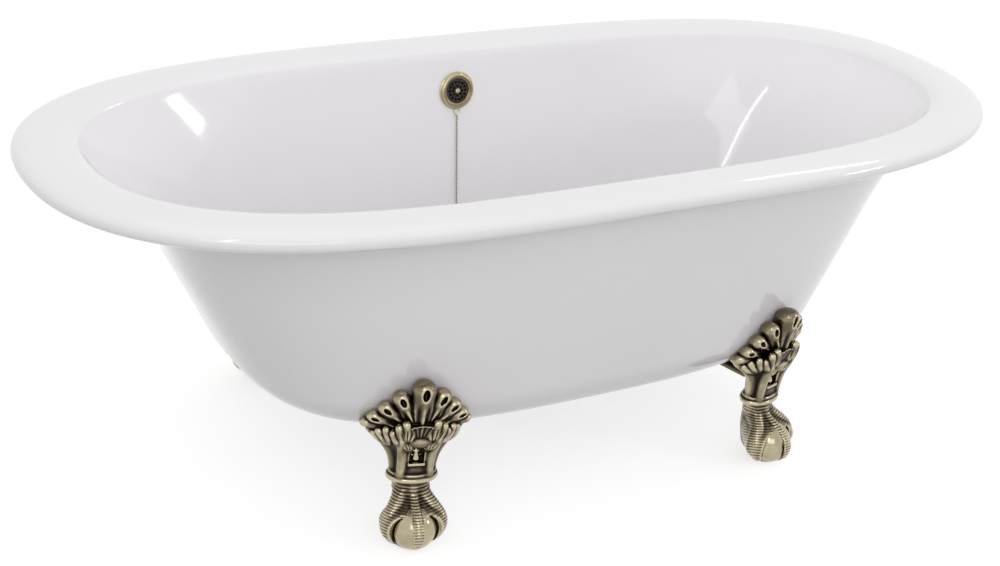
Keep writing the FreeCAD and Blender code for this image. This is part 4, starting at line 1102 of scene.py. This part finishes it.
def set_inputs(modifier, tree, values):
    """Sets a Geometry Nodes modifier's inputs by name, through their identifiers."""
    for item in tree.interface.items_tree:
        if item.item_type == "SOCKET" and item.in_out == "INPUT" and item.name in values:
            modifier[item.identifier] = values[item.name]


def smoothed(tree, geometry, finish, result):
    """The end of a tree: real meshes, smooth shading and the finish, into the result."""
    real = node(tree, "GeometryNodeRealizeInstances", {"Geometry": geometry})
    soft = node(tree, "GeometryNodeSetShadeSmooth", {"Geometry": real.outputs[0]})
    last = node(tree, "GeometryNodeSetMaterial", {"Geometry": soft.outputs[0], "Material": finish})
    tree.links.new(last.outputs[0], result)


def grown(name, start, tree, values):
    """The plain mesh that a tree makes of a starting object, which is used up."""
    start.name = name
    modifier = start.modifiers.new("grow", "NODES")
    modifier.node_group = tree
    set_inputs(modifier, tree, values)
    return evaluated(start)


# %% Materials made early, finished later
brass = {name: bpy.data.materials.new("aged_brass_" + name) for name in ("foot", "trim", "chain")}
white = {name: bpy.data.materials.new("white_gloss_" + name) for name in ("inside", "outside")}
hose_plastic = bpy.data.materials.new("grey_hose_plastic")


# %% Chain
CHAIN_PITCH, CHAIN_WIRE = 0.0044, 0.0005


def chain_tree():
    tree, given, result = new_tree("ball_chain", "GeometryNodeTree", [
        ("Line", "NodeSocketGeometry", None), ("Pitch", "NodeSocketFloat", CHAIN_PITCH),
        ("Ball Radius", "NodeSocketFloat", CHAIN_DIAMETER / 2),
        ("Wire Radius", "NodeSocketFloat", CHAIN_WIRE),
        ("Finish", "NodeSocketMaterial", None)], [("Chain", "NodeSocketGeometry")])
    steps = node(tree, "GeometryNodeResampleCurve", {"Curve": given.outputs["Line"],
                 "Length": given.outputs["Pitch"]}, mode="LENGTH")
    bead = node(tree, "GeometryNodeMeshUVSphere", {"Segments": 10, "Rings": 7,
                "Radius": given.outputs["Ball Radius"]})
    beads = node(tree, "GeometryNodeInstanceOnPoints", {"Points": steps.outputs[0],
                 "Instance": bead.outputs["Mesh"]})
    ring = node(tree, "GeometryNodeCurvePrimitiveCircle", {"Resolution": 6,
                "Radius": given.outputs["Wire Radius"]})
    wire = node(tree, "GeometryNodeCurveToMesh", {"Curve": steps.outputs[0],
                "Profile Curve": ring.outputs["Curve"], "Fill Caps": True})
    both = tree.nodes.new("GeometryNodeJoinGeometry")
    tree.links.new(beads.outputs[0], both.inputs[0])
    tree.links.new(wire.outputs[0], both.inputs[0])
    smoothed(tree, both.outputs[0], given.outputs["Finish"], result.inputs["Chain"])
    return tree


ball_chain = grown("ball_chain", chain_line, chain_tree(),
                   {"Pitch": CHAIN_PITCH, "Ball Radius": CHAIN_DIAMETER / 2,
                    "Wire Radius": CHAIN_WIRE, "Finish": brass["chain"]})
print("chain: faces", len(ball_chain.data.polygons))


# %% [markdown]
# ## Turned brass: bezel, screw, waste flange and plug
#
# These pieces come off a lathe, so each is a half section turned round an axis. A real
# turned edge is never quite sharp, and a small round on every corner is what catches
# the light, so the corners of each section are rounded before it is turned.

# %% Lathe
def rounded_section(corners):
    """A closed section with its corners rounded: rows of (radius, height, rounding), in mm."""
    section = []
    count = len(corners)
    for i, (x, y, rounding) in enumerate(corners):
        here = np.array((x, y), float)
        if rounding == 0:
            section.append(here)
            continue
        before = np.array(corners[i - 1][:2], float) - here
        after = np.array(corners[(i + 1) % count][:2], float) - here
        reach = min(rounding, 0.45 * np.linalg.norm(before), 0.45 * np.linalg.norm(after))
        start = here + before / np.linalg.norm(before) * reach
        end = here + after / np.linalg.norm(after) * reach
        for t in np.linspace(0, 1, 6):
            section.append((1 - t) ** 2 * start + 2 * t * (1 - t) * here + t * t * end)
    return np.array(section)


def turned(name, corners, place, steps=96):
    """A turned piece; a section that touches the axis closes there."""
    section = rounded_section(corners)
    on_axis = section[:, 0] < 1e-6
    angle = np.linspace(0, 2 * math.pi, steps, endpoint=False)
    radius, height = section[:, 0], section[:, 1:]
    points = np.stack([np.outer(radius, np.cos(angle)), np.outer(radius, np.sin(angle)),
                       np.repeat(height, steps, axis=1)], axis=-1) * MM
    faces = ring_faces(len(section), steps, True)
    obj = mesh_object(name, points.reshape(-1, 3), faces)
    work = bmesh.new()
    work.from_mesh(obj.data)
    bmesh.ops.remove_doubles(work, verts=work.verts[:], dist=1e-6)
    if on_axis.any():
        bmesh.ops.dissolve_degenerate(work, edges=work.edges[:], dist=1e-7)
    bmesh.ops.recalc_face_normals(work, faces=work.faces[:])
    bmesh.ops.transform(work, matrix=place, verts=work.verts)
    work.to_mesh(obj.data)
    work.free()
    return crisp(obj, 50)


def raised(place, height):
    return place @ Matrix.Translation((0, 0, height * MM))


def upright(height):
    return Matrix.Translation((0, 0, height * MM))


# %% Overflow bezel and screw
bezel = turned("overflow_ring", [
    (22, 0, 0), (33, 0, 0.3), (33, 2.6, 0.8), (31.2, 3.6, 0.6), (29.6, 7.2, 0.8), (27.4, 8, 0.8),
    (25.6, 8, 0.7), (24.6, 6.4, 0.5), (23.4, 6.2, 0.5), (22, 5.4, 0.4)],
    raised(overflow_place, GLUE_GAP))
screw = turned("overflow_grid_screw", [
    (0, -19, 0), (2.5, -19, 0.3), (2.5, 5, 0), (4.5, 5, 0.2), (4.5, 6.2, 0.5), (3.4, 7.2, 0.8),
    (0, 7.4, 0)], overflow_place, 40)
slot_place = raised(overflow_place, 7.6) @ Matrix.Rotation(math.pi / 2, 4, "Y")
slot_cut = drum("slot", 0.0008, 0.02, slot_place, 16)
screw = crisp(with_cuts(screw, [slot_cut]), 40)

# %% Wire loop that the chain hangs on
LOOP_HEIGHT, LOOP_TOP, LOOP_BOTTOM, LOOP_HALF = 2.2, -32.5, -44.6, 5.4
LOOP_WIRE = 0.8


def round_wire(path, radius, around=12):
    """Points and faces of a closed loop of round wire along closed points."""
    path = np.array(path, float)
    ahead = np.roll(path, -1, 0) - np.roll(path, 1, 0)
    ahead /= np.linalg.norm(ahead, axis=1)[:, None]
    normal = np.cross(path[1] - path[0], path[2] - path.mean(0))
    normal /= np.linalg.norm(normal)
    sideways = np.cross(ahead, normal)
    angle = np.linspace(0, 2 * math.pi, around, endpoint=False)
    points = (path[:, None] + radius * (np.cos(angle)[None, :, None] * sideways[:, None]
                                        + np.sin(angle)[None, :, None] * normal[None, None]))
    return points.reshape(-1, 3), ring_faces(len(path), around, True)


def closed_curve(corners, steps):
    """A smooth closed curve through corners."""
    corners = np.array(corners, float)
    count = len(corners)
    line = []
    for i in range(count):
        p0, p1, p2, p3 = (corners[(i + k) % count] for k in (-1, 0, 1, 2))
        line += [curved(p0, p1, p2, p3, t) for t in np.linspace(0, 1, steps, endpoint=False)]
    return np.array(line)


loop_middle = (LOOP_TOP + LOOP_BOTTOM) / 2
loop_line = closed_curve([(-LOOP_HALF, LOOP_TOP - 1.4, LOOP_HEIGHT), (0, LOOP_TOP, LOOP_HEIGHT),
                          (LOOP_HALF, LOOP_TOP - 1.4, LOOP_HEIGHT),
                          (LOOP_HALF * 0.72, loop_middle - 1.4, LOOP_HEIGHT),
                          (1.3, LOOP_BOTTOM + 0.5, LOOP_HEIGHT), (0, LOOP_BOTTOM, LOOP_HEIGHT),
                          (-1.3, LOOP_BOTTOM + 0.5, LOOP_HEIGHT),
                          (-LOOP_HALF * 0.72, loop_middle - 1.4, LOOP_HEIGHT)], 8)
loop_points, loop_faces = round_wire(loop_line, LOOP_WIRE)
wire_loop = mesh_object("chain_wire_loop", loop_points * MM, loop_faces)
wire_loop.data.transform(overflow_place)
loop_end = overflow_place @ Vector((0, LOOP_BOTTOM * MM, 0.002))
print("wire loop down to", [round(v / MM, 1) for v in loop_end])

# %% Waste flange, plug and seal
WASTE_GASKET, FLANGE_THICKNESS, WASTE_LENGTH = 1.5, 3, 58
SEAT_DEPTH, SEAT_GAP = 9, 0.1
flange_top = BASIN_FLOOR + WASTE_GASKET + FLANGE_THICKNESS
waste_flange = turned("waste_top_flange", [
    (20, 0, 0.4), (23.9, 0, 0.4), (23.9, 36, 0), (23.5, 36, 0), (23.5, 55, 0), (35, 55, 0.3),
    (35, 56, 0.8), (31, 57.7, 1.2), (25, 58, 0.8), (23, 57.2, 0.5), (23, 49, 0.6), (20, 49, 0.6)],
    upright(flange_top - WASTE_LENGTH))
plug_seat = upright(flange_top - SEAT_DEPTH + SEAT_GAP)
plug_body = turned("plug_top", [
    (0, 0, 0), (17.5, 0, 0.4), (17.5, 6, 0), (21.5, 6, 0.4), (21.5, 8, 0.8), (19.5, 9.2, 0.6),
    (17, 9.4, 1), (13.6, 12.6, 1), (6, 13.2, 1.5), (3.2, 14.5, 1), (3, 18, 0.4), (2.2, 19, 0.6),
    (0, 19, 0)], plug_seat)
plug_rubber = turned("plug_rubber", [(17.5, 0, 0.3), (22.7, 0, 0.8), (22.4, 3, 0.6), (22.7, 6, 0.8),
                                     (17.5, 6, 0.3)], plug_seat)

# %% [markdown]
# ## Overflow hose
#
# The hose from the overflow to the waste is corrugated so that it bends without
# kinking. Its ribs follow the line of the hose, so Geometry Nodes make it: the line is
# divided finely, and a sine of the length along it sets the radius of a round section.

# %% Hose
RIB_PITCH, RIB_DEPTH = 0.005, 0.0012


def hose_tree():
    tree, given, result = new_tree("ribbed_hose", "GeometryNodeTree", [
        ("Line", "NodeSocketGeometry", None), ("Step", "NodeSocketFloat", 0.001),
        ("Rib Pitch", "NodeSocketFloat", RIB_PITCH), ("Rib Depth", "NodeSocketFloat", RIB_DEPTH),
        ("Radius", "NodeSocketFloat", HOSE_RADIUS * MM), ("Finish", "NodeSocketMaterial", None)],
        [("Hose", "NodeSocketGeometry")])
    steps = node(tree, "GeometryNodeResampleCurve", {"Curve": given.outputs["Line"],
                 "Length": given.outputs["Step"]}, mode="LENGTH")
    along = tree.nodes.new("GeometryNodeSplineParameter")
    turns = maths(tree, "DIVIDE", along.outputs["Length"], given.outputs["Rib Pitch"])
    wave = maths(tree, "COSINE", maths(tree, "MULTIPLY", turns, 2 * math.pi))
    lowered = maths(tree, "ADD", wave, -1.0)
    half = maths(tree, "MULTIPLY", given.outputs["Rib Depth"], 0.5)
    radius = maths(tree, "MULTIPLY_ADD", lowered, half, given.outputs["Radius"])
    ring = node(tree, "GeometryNodeCurvePrimitiveCircle", {"Resolution": 24, "Radius": 1.0})
    sized = node(tree, "GeometryNodeSetCurveRadius", {"Curve": steps.outputs[0], "Radius": radius})
    tube = node(tree, "GeometryNodeCurveToMesh", {"Curve": sized.outputs[0],
                "Profile Curve": ring.outputs["Curve"], "Fill Caps": True})
    if "Scale" in tube.inputs:
        tree.links.new(radius, tube.inputs["Scale"])
    smoothed(tree, tube.outputs[0], given.outputs["Finish"], result.inputs["Hose"])
    return tree


def cavity_middle(height):
    """Half way between the two skins on the overflow side."""
    return (basin_halves(height, LINER_THICKNESS)[1] + skin_halves(height, SKIN_THICKNESS)[1]) / 2


ELBOW_DROP = 20.4
BODY_TOP, BODY_LENGTH, PORT_RISE = SKIN_FLOOR - 1.5, 47, 12
tail_place = raised(overflow_place, -ELBOW_DROP) @ Matrix.Rotation(math.pi / 2, 4, "X")
hose_low = BODY_TOP - BODY_LENGTH + PORT_RISE
hose_route = [tuple(tail_place @ Vector((0, 0, reach * MM))) for reach in (34, 72, 110, 150)]
hose_route += [(0, cavity_middle(h) * MM, h * MM) for h in (SKIN_FLOOR + 147, SKIN_FLOOR + 85)]
hose_route += [(0, y * MM, h * MM) for y, h in (
    (hose_hole_y, SKIN_FLOOR + 42), (hose_hole_y, SKIN_FLOOR + 8), (hose_hole_y, SKIN_FLOOR - 18),
    (hose_hole_y - 18, hose_low), (hose_hole_y - 60, hose_low), (100, hose_low), (35, hose_low))]
hose = grown("ribbed_hose", spline_object("hose_line", hose_route), hose_tree(),
             {"Step": RIB_PITCH / 8, "Rib Pitch": RIB_PITCH, "Rib Depth": RIB_DEPTH,
              "Radius": HOSE_RADIUS * MM, "Finish": hose_plastic})
print("hose: faces", len(hose.data.polygons))
# %% [markdown]
# ## Finishes: shared effects
#
# A finish is more than a colour. Aged brass is bright where hands and cloths rub it and
# dark where polish never reaches, and even gloss white acrylic has faint ripples and a
# film of dust. Effects that several finishes share are groups of shader nodes with
# named inputs. Each finish places the group with its own values and keeps its own
# Principled shader.


# %% Groups of shader nodes
def ramp(tree, value, low, high):
    """A smooth step of a value from 0 at low to 1 at high."""
    step = node(tree, "ShaderNodeMapRange", {"Value": value, "From Min": low, "From Max": high},
                interpolation_type="SMOOTHSTEP")
    return step.outputs["Result"]


def mixed(tree, share, a, b):
    """A colour between two others."""
    mix = tree.nodes.new("ShaderNodeMix")
    mix.data_type = "RGBA"
    for name, value in (("Factor", share), ("A", a), ("B", b)):
        socket = next(s for s in mix.inputs if s.name == name and s.enabled)
        if isinstance(value, bpy.types.NodeSocket):
            tree.links.new(value, socket)
        else:
            socket.default_value = value
    return next(s for s in mix.outputs if s.enabled)


def noise(tree, place, scale, detail=3.0, roughness=0.5):
    made = node(tree, "ShaderNodeTexNoise", {"Vector": place, "Scale": scale, "Detail": detail,
                "Roughness": roughness})
    return made.outputs["Fac"]


def aged_metal_group():
    """Colour, roughness and height of a metal with dark hollows and rubbed edges."""
    tree, given, result = new_tree("aged_metal", "ShaderNodeTree", [
        ("Metal", "NodeSocketColor", (0.5, 0.4, 0.2, 1)),
        ("Rubbed", "NodeSocketColor", (0.7, 0.6, 0.4, 1)),
        ("Hollow", "NodeSocketColor", (0.05, 0.04, 0.02, 1)), ("Grain", "NodeSocketFloat", 60.0),
        ("Gloss", "NodeSocketFloat", 0.3), ("Dullness", "NodeSocketFloat", 0.6)],
        [("Colour", "NodeSocketColor"), ("Roughness", "NodeSocketFloat"),
         ("Height", "NodeSocketFloat")])
    place = tree.nodes.new("ShaderNodeTexCoord").outputs["Object"]
    # On the feet the relief number also carries the painted shade on the leg and fan and the ball's painted
    # sheen.
    relief = node(tree, "ShaderNodeAttribute", attribute_name="relief").outputs["Fac"]
    cloud = noise(tree, place, given.outputs["Grain"], 5, 0.62)
    speck = noise(tree, place, maths(tree, "MULTIPLY", given.outputs["Grain"], 7.0), 3, 0.6)
    clouding = maths(tree, "MULTIPLY", maths(tree, "SUBTRACT", cloud, 0.5), 0.5)
    uneven = maths(tree, "ADD", relief, clouding)
    hollow = maths(tree, "SUBTRACT", 1.0, ramp(tree, uneven, -0.55, 0.12))
    rubbed = ramp(tree, uneven, 0.05, 0.6)
    colour = mixed(tree, ramp(tree, cloud, 0.3, 0.75), given.outputs["Metal"],
                   mixed(tree, 0.35, given.outputs["Metal"], given.outputs["Hollow"]))
    colour = mixed(tree, rubbed, colour, given.outputs["Rubbed"])
    colour = mixed(tree, hollow, colour, given.outputs["Hollow"])
    tree.links.new(colour, result.inputs["Colour"])
    dull = maths(tree, "MULTIPLY", hollow, given.outputs["Dullness"])
    patches = maths(tree, "MULTIPLY", maths(tree, "SUBTRACT", speck, 0.5), 0.22)
    rough = maths(tree, "ADD", maths(tree, "ADD", given.outputs["Gloss"], dull), patches)
    tree.links.new(maths(tree, "MINIMUM", maths(tree, "MAXIMUM", rough, 0.12), 0.9),
                   result.inputs["Roughness"])
    tree.links.new(maths(tree, "ADD", maths(tree, "MULTIPLY", cloud, 0.4), speck),
                   result.inputs["Height"])
    return tree


def fine_surface_group():
    """Mottled colour, roughness and height for moulded, rolled or sawn materials."""
    tree, given, result = new_tree("fine_surface", "ShaderNodeTree", [
        ("Colour", "NodeSocketColor", (0.8, 0.8, 0.8, 1)),
        ("Shade", "NodeSocketColor", (0.7, 0.7, 0.7, 1)),
        ("Stretch", "NodeSocketVector", (1, 1, 1)), ("Patch Scale", "NodeSocketFloat", 6.0),
        ("Grain Scale", "NodeSocketFloat", 400.0), ("Low", "NodeSocketFloat", 0.1),
        ("High", "NodeSocketFloat", 0.2)],
        [("Colour", "NodeSocketColor"), ("Roughness", "NodeSocketFloat"),
         ("Ripple", "NodeSocketFloat"), ("Grain", "NodeSocketFloat")])
    place = tree.nodes.new("ShaderNodeTexCoord").outputs["Object"]
    stretched = node(tree, "ShaderNodeVectorMath", {0: place, 1: given.outputs["Stretch"]},
                     operation="MULTIPLY").outputs[0]
    patch = noise(tree, stretched, given.outputs["Patch Scale"], 4, 0.55)
    grain = noise(tree, stretched, given.outputs["Grain Scale"], 2, 0.5)
    tree.links.new(mixed(tree, ramp(tree, patch, 0.35, 0.7), given.outputs["Colour"],
                         given.outputs["Shade"]), result.inputs["Colour"])
    spread = maths(tree, "SUBTRACT", given.outputs["High"], given.outputs["Low"])
    blend = maths(tree, "ADD", maths(tree, "MULTIPLY", patch, 0.7),
                  maths(tree, "MULTIPLY", grain, 0.3))
    tree.links.new(maths(tree, "ADD", given.outputs["Low"], maths(tree, "MULTIPLY", spread, blend)),
                   result.inputs["Roughness"])
    tree.links.new(patch, result.inputs["Ripple"])
    tree.links.new(grain, result.inputs["Grain"])
    return tree


aged_metal, fine_surface = aged_metal_group(), fine_surface_group()
print("shared effects:", aged_metal.name, fine_surface.name)


# %% Building a finish
def finish(material, group, values, height_from, bump, depth, **constants):
    """A Principled material fed by a group; constants go straight on the shader's sockets."""
    material.use_nodes = True
    tree = material.node_tree
    tree.nodes.clear()
    out = tree.nodes.new("ShaderNodeOutputMaterial")
    shader = tree.nodes.new("ShaderNodeBsdfPrincipled")
    tree.links.new(shader.outputs[0], out.inputs["Surface"])
    effect = tree.nodes.new("ShaderNodeGroup")
    effect.node_tree = group
    for key, value in values.items():
        effect.inputs[key].default_value = value
    tree.links.new(effect.outputs["Colour"], shader.inputs["Base Color"])
    tree.links.new(effect.outputs["Roughness"], shader.inputs["Roughness"])
    relief = node(tree, "ShaderNodeBump", {"Height": effect.outputs[height_from],
                  "Strength": bump, "Distance": depth})
    tree.links.new(relief.outputs[0], shader.inputs["Normal"])
    for key, value in constants.items():
        shader.inputs[key.replace("_", " ")].default_value = value
    return material


# %% [markdown]
# ## Finishes: one by one
#
# The feet, the trim and the chain are the same brass, aged by the same rule, but the
# small polished pieces are brighter than the rough castings. Inside and out the bath is
# one acrylic, and its outside is painted a little darker, as painted shade. Bolts are
# zinc, the board is sawn timber, seals are rubber, and the hidden fittings are black
# plastic.

# %% Brass, acrylic and the rest
finish(brass["foot"], aged_metal, {
    "Metal": (0.19, 0.157, 0.105, 1), "Rubbed": (0.50, 0.44, 0.30, 1),
    "Hollow": (0.016, 0.013, 0.009, 1), "Grain": 40, "Gloss": 0.16, "Dullness": 0.25},
    "Height", 0.18, 0.0005, Metallic=1.0)
finish(brass["trim"], aged_metal, {
    "Metal": (0.42, 0.35, 0.21, 1), "Rubbed": (0.66, 0.58, 0.38, 1),
    "Hollow": (0.06, 0.048, 0.03, 1), "Grain": 90, "Gloss": 0.22, "Dullness": 0.3},
    "Height", 0.15, 0.0002, Metallic=1.0)
finish(brass["chain"], aged_metal, {
    "Metal": (0.40, 0.36, 0.27, 1), "Rubbed": (0.62, 0.57, 0.44, 1),
    "Hollow": (0.07, 0.06, 0.045, 1), "Grain": 200, "Gloss": 0.24, "Dullness": 0.3},
    "Height", 0.1, 0.0001, Metallic=1.0)
# The outside is the same acrylic painted a little darker than the inside: painted shade on its walls, which
# face sideways and down.
for side, colour, shade in (("inside", (0.84, 0.825, 0.84, 1), (0.825, 0.81, 0.825, 1)),
                            ("outside", (0.81, 0.795, 0.81, 1), (0.795, 0.78, 0.795, 1))):
    finish(white[side], fine_surface, {"Colour": colour, "Shade": shade, "Patch Scale": 3.0,
           "Grain Scale": 900, "Low": 0.07, "High": 0.12}, "Ripple", 0.10, 0.002,
           IOR=1.49, Coat_Weight=0.25, Coat_Roughness=0.04)
finish(hose_plastic, fine_surface, {"Colour": (0.30, 0.30, 0.31, 1), "Shade": (0.24, 0.24, 0.25, 1),
       "Low": 0.35, "High": 0.55}, "Grain", 0.1, 0.0003)


def new_finish(name, values, height_from, bump, depth, **constants):
    return finish(bpy.data.materials.new(name), fine_surface, values, height_from, bump, depth,
                  **constants)


timber = new_finish("sawn_board", {"Colour": (0.42, 0.27, 0.13, 1), "Shade": (0.25, 0.15, 0.07, 1),
                    "Stretch": (1, 14, 14), "Patch Scale": 9, "Grain Scale": 90, "Low": 0.5,
                    "High": 0.8}, "Grain", 0.4, 0.0006)
zinc = new_finish("zinc_steel", {"Colour": (0.58, 0.58, 0.56, 1), "Shade": (0.42, 0.42, 0.41, 1),
                  "Patch Scale": 120, "Grain Scale": 900, "Low": 0.25, "High": 0.5}, "Grain",
                  0.1, 0.0002, Metallic=1.0)
rubber = new_finish("black_rubber", {"Colour": (0.025, 0.025, 0.026, 1),
                    "Shade": (0.04, 0.04, 0.04, 1), "Patch Scale": 60, "Grain Scale": 1500,
                    "Low": 0.55, "High": 0.8}, "Grain", 0.2, 0.0002)
black_plastic = new_finish("black_fitting_plastic", {"Colour": (0.03, 0.03, 0.032, 1),
                           "Shade": (0.045, 0.045, 0.047, 1), "Patch Scale": 40,
                           "Grain Scale": 1200, "Low": 0.3, "High": 0.5}, "Grain", 0.15, 0.0002)
dark_grid = new_finish("dark_bronze_grid", {"Colour": (0.055, 0.048, 0.040, 1),
                       "Shade": (0.03, 0.026, 0.022, 1), "Patch Scale": 150, "Grain Scale": 1200,
                       "Low": 0.28, "High": 0.5}, "Grain", 0.15, 0.0002, Metallic=0.8)
print("finishes:", len(bpy.data.materials))


# %% Giving each piece its finish
def paint(obj, material):
    obj.data.materials.clear()
    obj.data.materials.append(material)
    return obj


for obj in (bezel, screw, plug_body, wire_loop, waste_flange):
    mark_relief(obj, 1, 6, 0.0004)
    paint(obj, brass["trim"])
for obj in feet.values():
    paint(obj, brass["foot"])
paint(basin, white["inside"])
paint(outer_skin, white["outside"])
paint(plug_rubber, rubber)
CAD_FINISHES = {
    timber: ["floor_board"], zinc: ["foot_bolts", "foot_washers", "board_inserts", "hose_clips"],
    rubber: ["waste_top_gasket", "waste_lower_gasket", "overflow_gasket", "hose_sleeve"],
    black_plastic: ["waste_body", "waste_backnut", "overflow_elbow"], dark_grid: ["overflow_grid"],
    brass["trim"]: ["plug_ring"],
}
for material, names in CAD_FINISHES.items():
    for name in names:
        for part_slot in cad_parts[name].material_slots:
            part_slot.material = material

# %% [markdown]
# ## Pieces and bodies
#
# Every piece moves with a body of the model. The plug and its rubber go with the plug,
# and all else with the bath. The chain belongs to both: near the plug it follows the
# plug, and from the place where it leaves the floor it stays with the bath.

# %% Ride and replace
FITTED = [
    (basin, "bath", ["bath_liner"], "white_gloss_inside"),
    (outer_skin, "bath", ["outer_skin"], "white_gloss_outside"),
    (bezel, "bath", ["overflow_bezel"], "aged_brass_trim"),
    (screw, "bath", ["overflow_screw"], "aged_brass_trim"),
    (wire_loop, "bath", ["chain_stay"], "aged_brass_trim"),
    (waste_flange, "bath", ["waste_flange"], "aged_brass_trim"),
    (hose, "bath", ["overflow_hose"], "grey_hose"),
    (plug_body, "plug", ["plug"], "aged_brass_trim"),
    (plug_rubber, "plug", ["plug_seal"], "rubber"),
]
FITTED += [(obj, "bath", [name], "aged_brass_foot") for name, obj in feet.items()]
for obj, body, names, slot_name in FITTED:
    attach(obj, body)
    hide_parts(*names)
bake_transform(ball_chain, "bath", "plug", start=(0, 0.15, 0.184), end=(0, 0.03, 0.19))
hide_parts("chain", "chain_end")
print("pieces fitted:", len(FITTED) + 1)

# %% [markdown]
# ## Floor, world and lights
#
# The bath stands on plain white. The floor glows a little, but only as the camera and
# mirrored rays see it, so it shows white, lights nothing, and keeps a soft shadow. The
# light is that of a studio: a bright, even world, a large lamp above and one in front. A
# small window and a tall strip are placed so that their reflections draw the bright
# streaks on the two end walls, and a long strip behind draws the line along the near rim.

# %% Floor and world
FLOOR_GLOW = 0.70


def ray_sees_stage(tree):
    """1 for rays that show the white backdrop: the camera's own, mirrored and clear ones."""
    path = tree.nodes.new("ShaderNodeLightPath")
    mirrored = maths(tree, "MAXIMUM", path.outputs["Is Glossy Ray"],
                     path.outputs["Is Transmission Ray"])
    return maths(tree, "MAXIMUM", path.outputs["Is Camera Ray"], mirrored)


def floor_material():
    material = bpy.data.materials.new("studio_floor")
    material.use_nodes = True
    tree = material.node_tree
    tree.nodes.clear()
    out = tree.nodes.new("ShaderNodeOutputMaterial")
    matt = node(tree, "ShaderNodeBsdfDiffuse", {"Color": (0.45, 0.45, 0.45, 1)})
    glow = node(tree, "ShaderNodeEmission", {"Color": (1, 1, 1, 1), "Strength": FLOOR_GLOW})
    dark = node(tree, "ShaderNodeEmission", {"Color": (0, 0, 0, 1), "Strength": 0.0})
    choice = node(tree, "ShaderNodeMixShader", {0: ray_sees_stage(tree), 1: dark.outputs[0],
                  2: glow.outputs[0]})
    both = node(tree, "ShaderNodeAddShader", {0: matt.outputs[0], 1: choice.outputs[0]})
    tree.links.new(both.outputs[0], out.inputs["Surface"])
    return material


FLOOR_REACH, FLOOR_LEVEL = 14.0, -0.0005
floor_points = [(x * FLOOR_REACH, y * FLOOR_REACH, FLOOR_LEVEL)
                for x, y in ((-1, -1), (1, -1), (1, 1), (-1, 1))]
floor_mesh = bpy.data.meshes.new("studio_floor")
floor_mesh.from_pydata(floor_points, [], [(0, 1, 2, 3)])
studio_floor = placed("studio_floor", floor_mesh)
paint(studio_floor, floor_material())

world = bpy.data.worlds.new("studio")
bpy.context.scene.world = world
world.use_nodes = True
world_tree = world.node_tree
world_tree.nodes.clear()
sky_seen = node(world_tree, "ShaderNodeBackground", {"Color": (1, 1, 1, 1), "Strength": 1.0})
sky_light = node(world_tree, "ShaderNodeBackground", {"Color": (1, 1, 1, 1), "Strength": 0.80})
sky = node(world_tree, "ShaderNodeMixShader", {0: ray_sees_stage(world_tree),
           1: sky_light.outputs[0], 2: sky_seen.outputs[0]})
world_out = world_tree.nodes.new("ShaderNodeOutputWorld")
world_tree.links.new(sky.outputs[0], world_out.inputs["Surface"])


# %% Lamps
def soft_box(name, place, aim, width, height, power):
    data = bpy.data.lights.new(name, "AREA")
    data.shape = "RECTANGLE"
    data.size, data.size_y = width, height
    data.energy = power
    direction = Vector(aim) - Vector(place)
    placed(name, data).matrix_world = (Matrix.Translation(place)
                                       @ direction.to_track_quat("-Z", "Y").to_matrix().to_4x4())


soft_box("overhead", (-0.3, 0.2, 3.4), (0, 0, 0.3), 3.2, 2.4, 5)
soft_box("front", (-1.6, -3.4, 2.0), (0, 0, 0.3), 2.8, 1.8, 20)
soft_box("window_left", (1.87, -1.47, 1.08), (-0.5, 0.24, 0.53), 0.28, 0.27, 3)
soft_box("strip_right", (-1.98, -2.5, 2.82), (0.56, 0.16, 0.41), 0.16, 2.0, 9)
soft_box("rim_line", (2.28, 0.55, 2.6), (0.3, -0.35, 0.57), 1.1, 0.1, 5)
bpy.context.scene.view_settings.view_transform = "Standard"
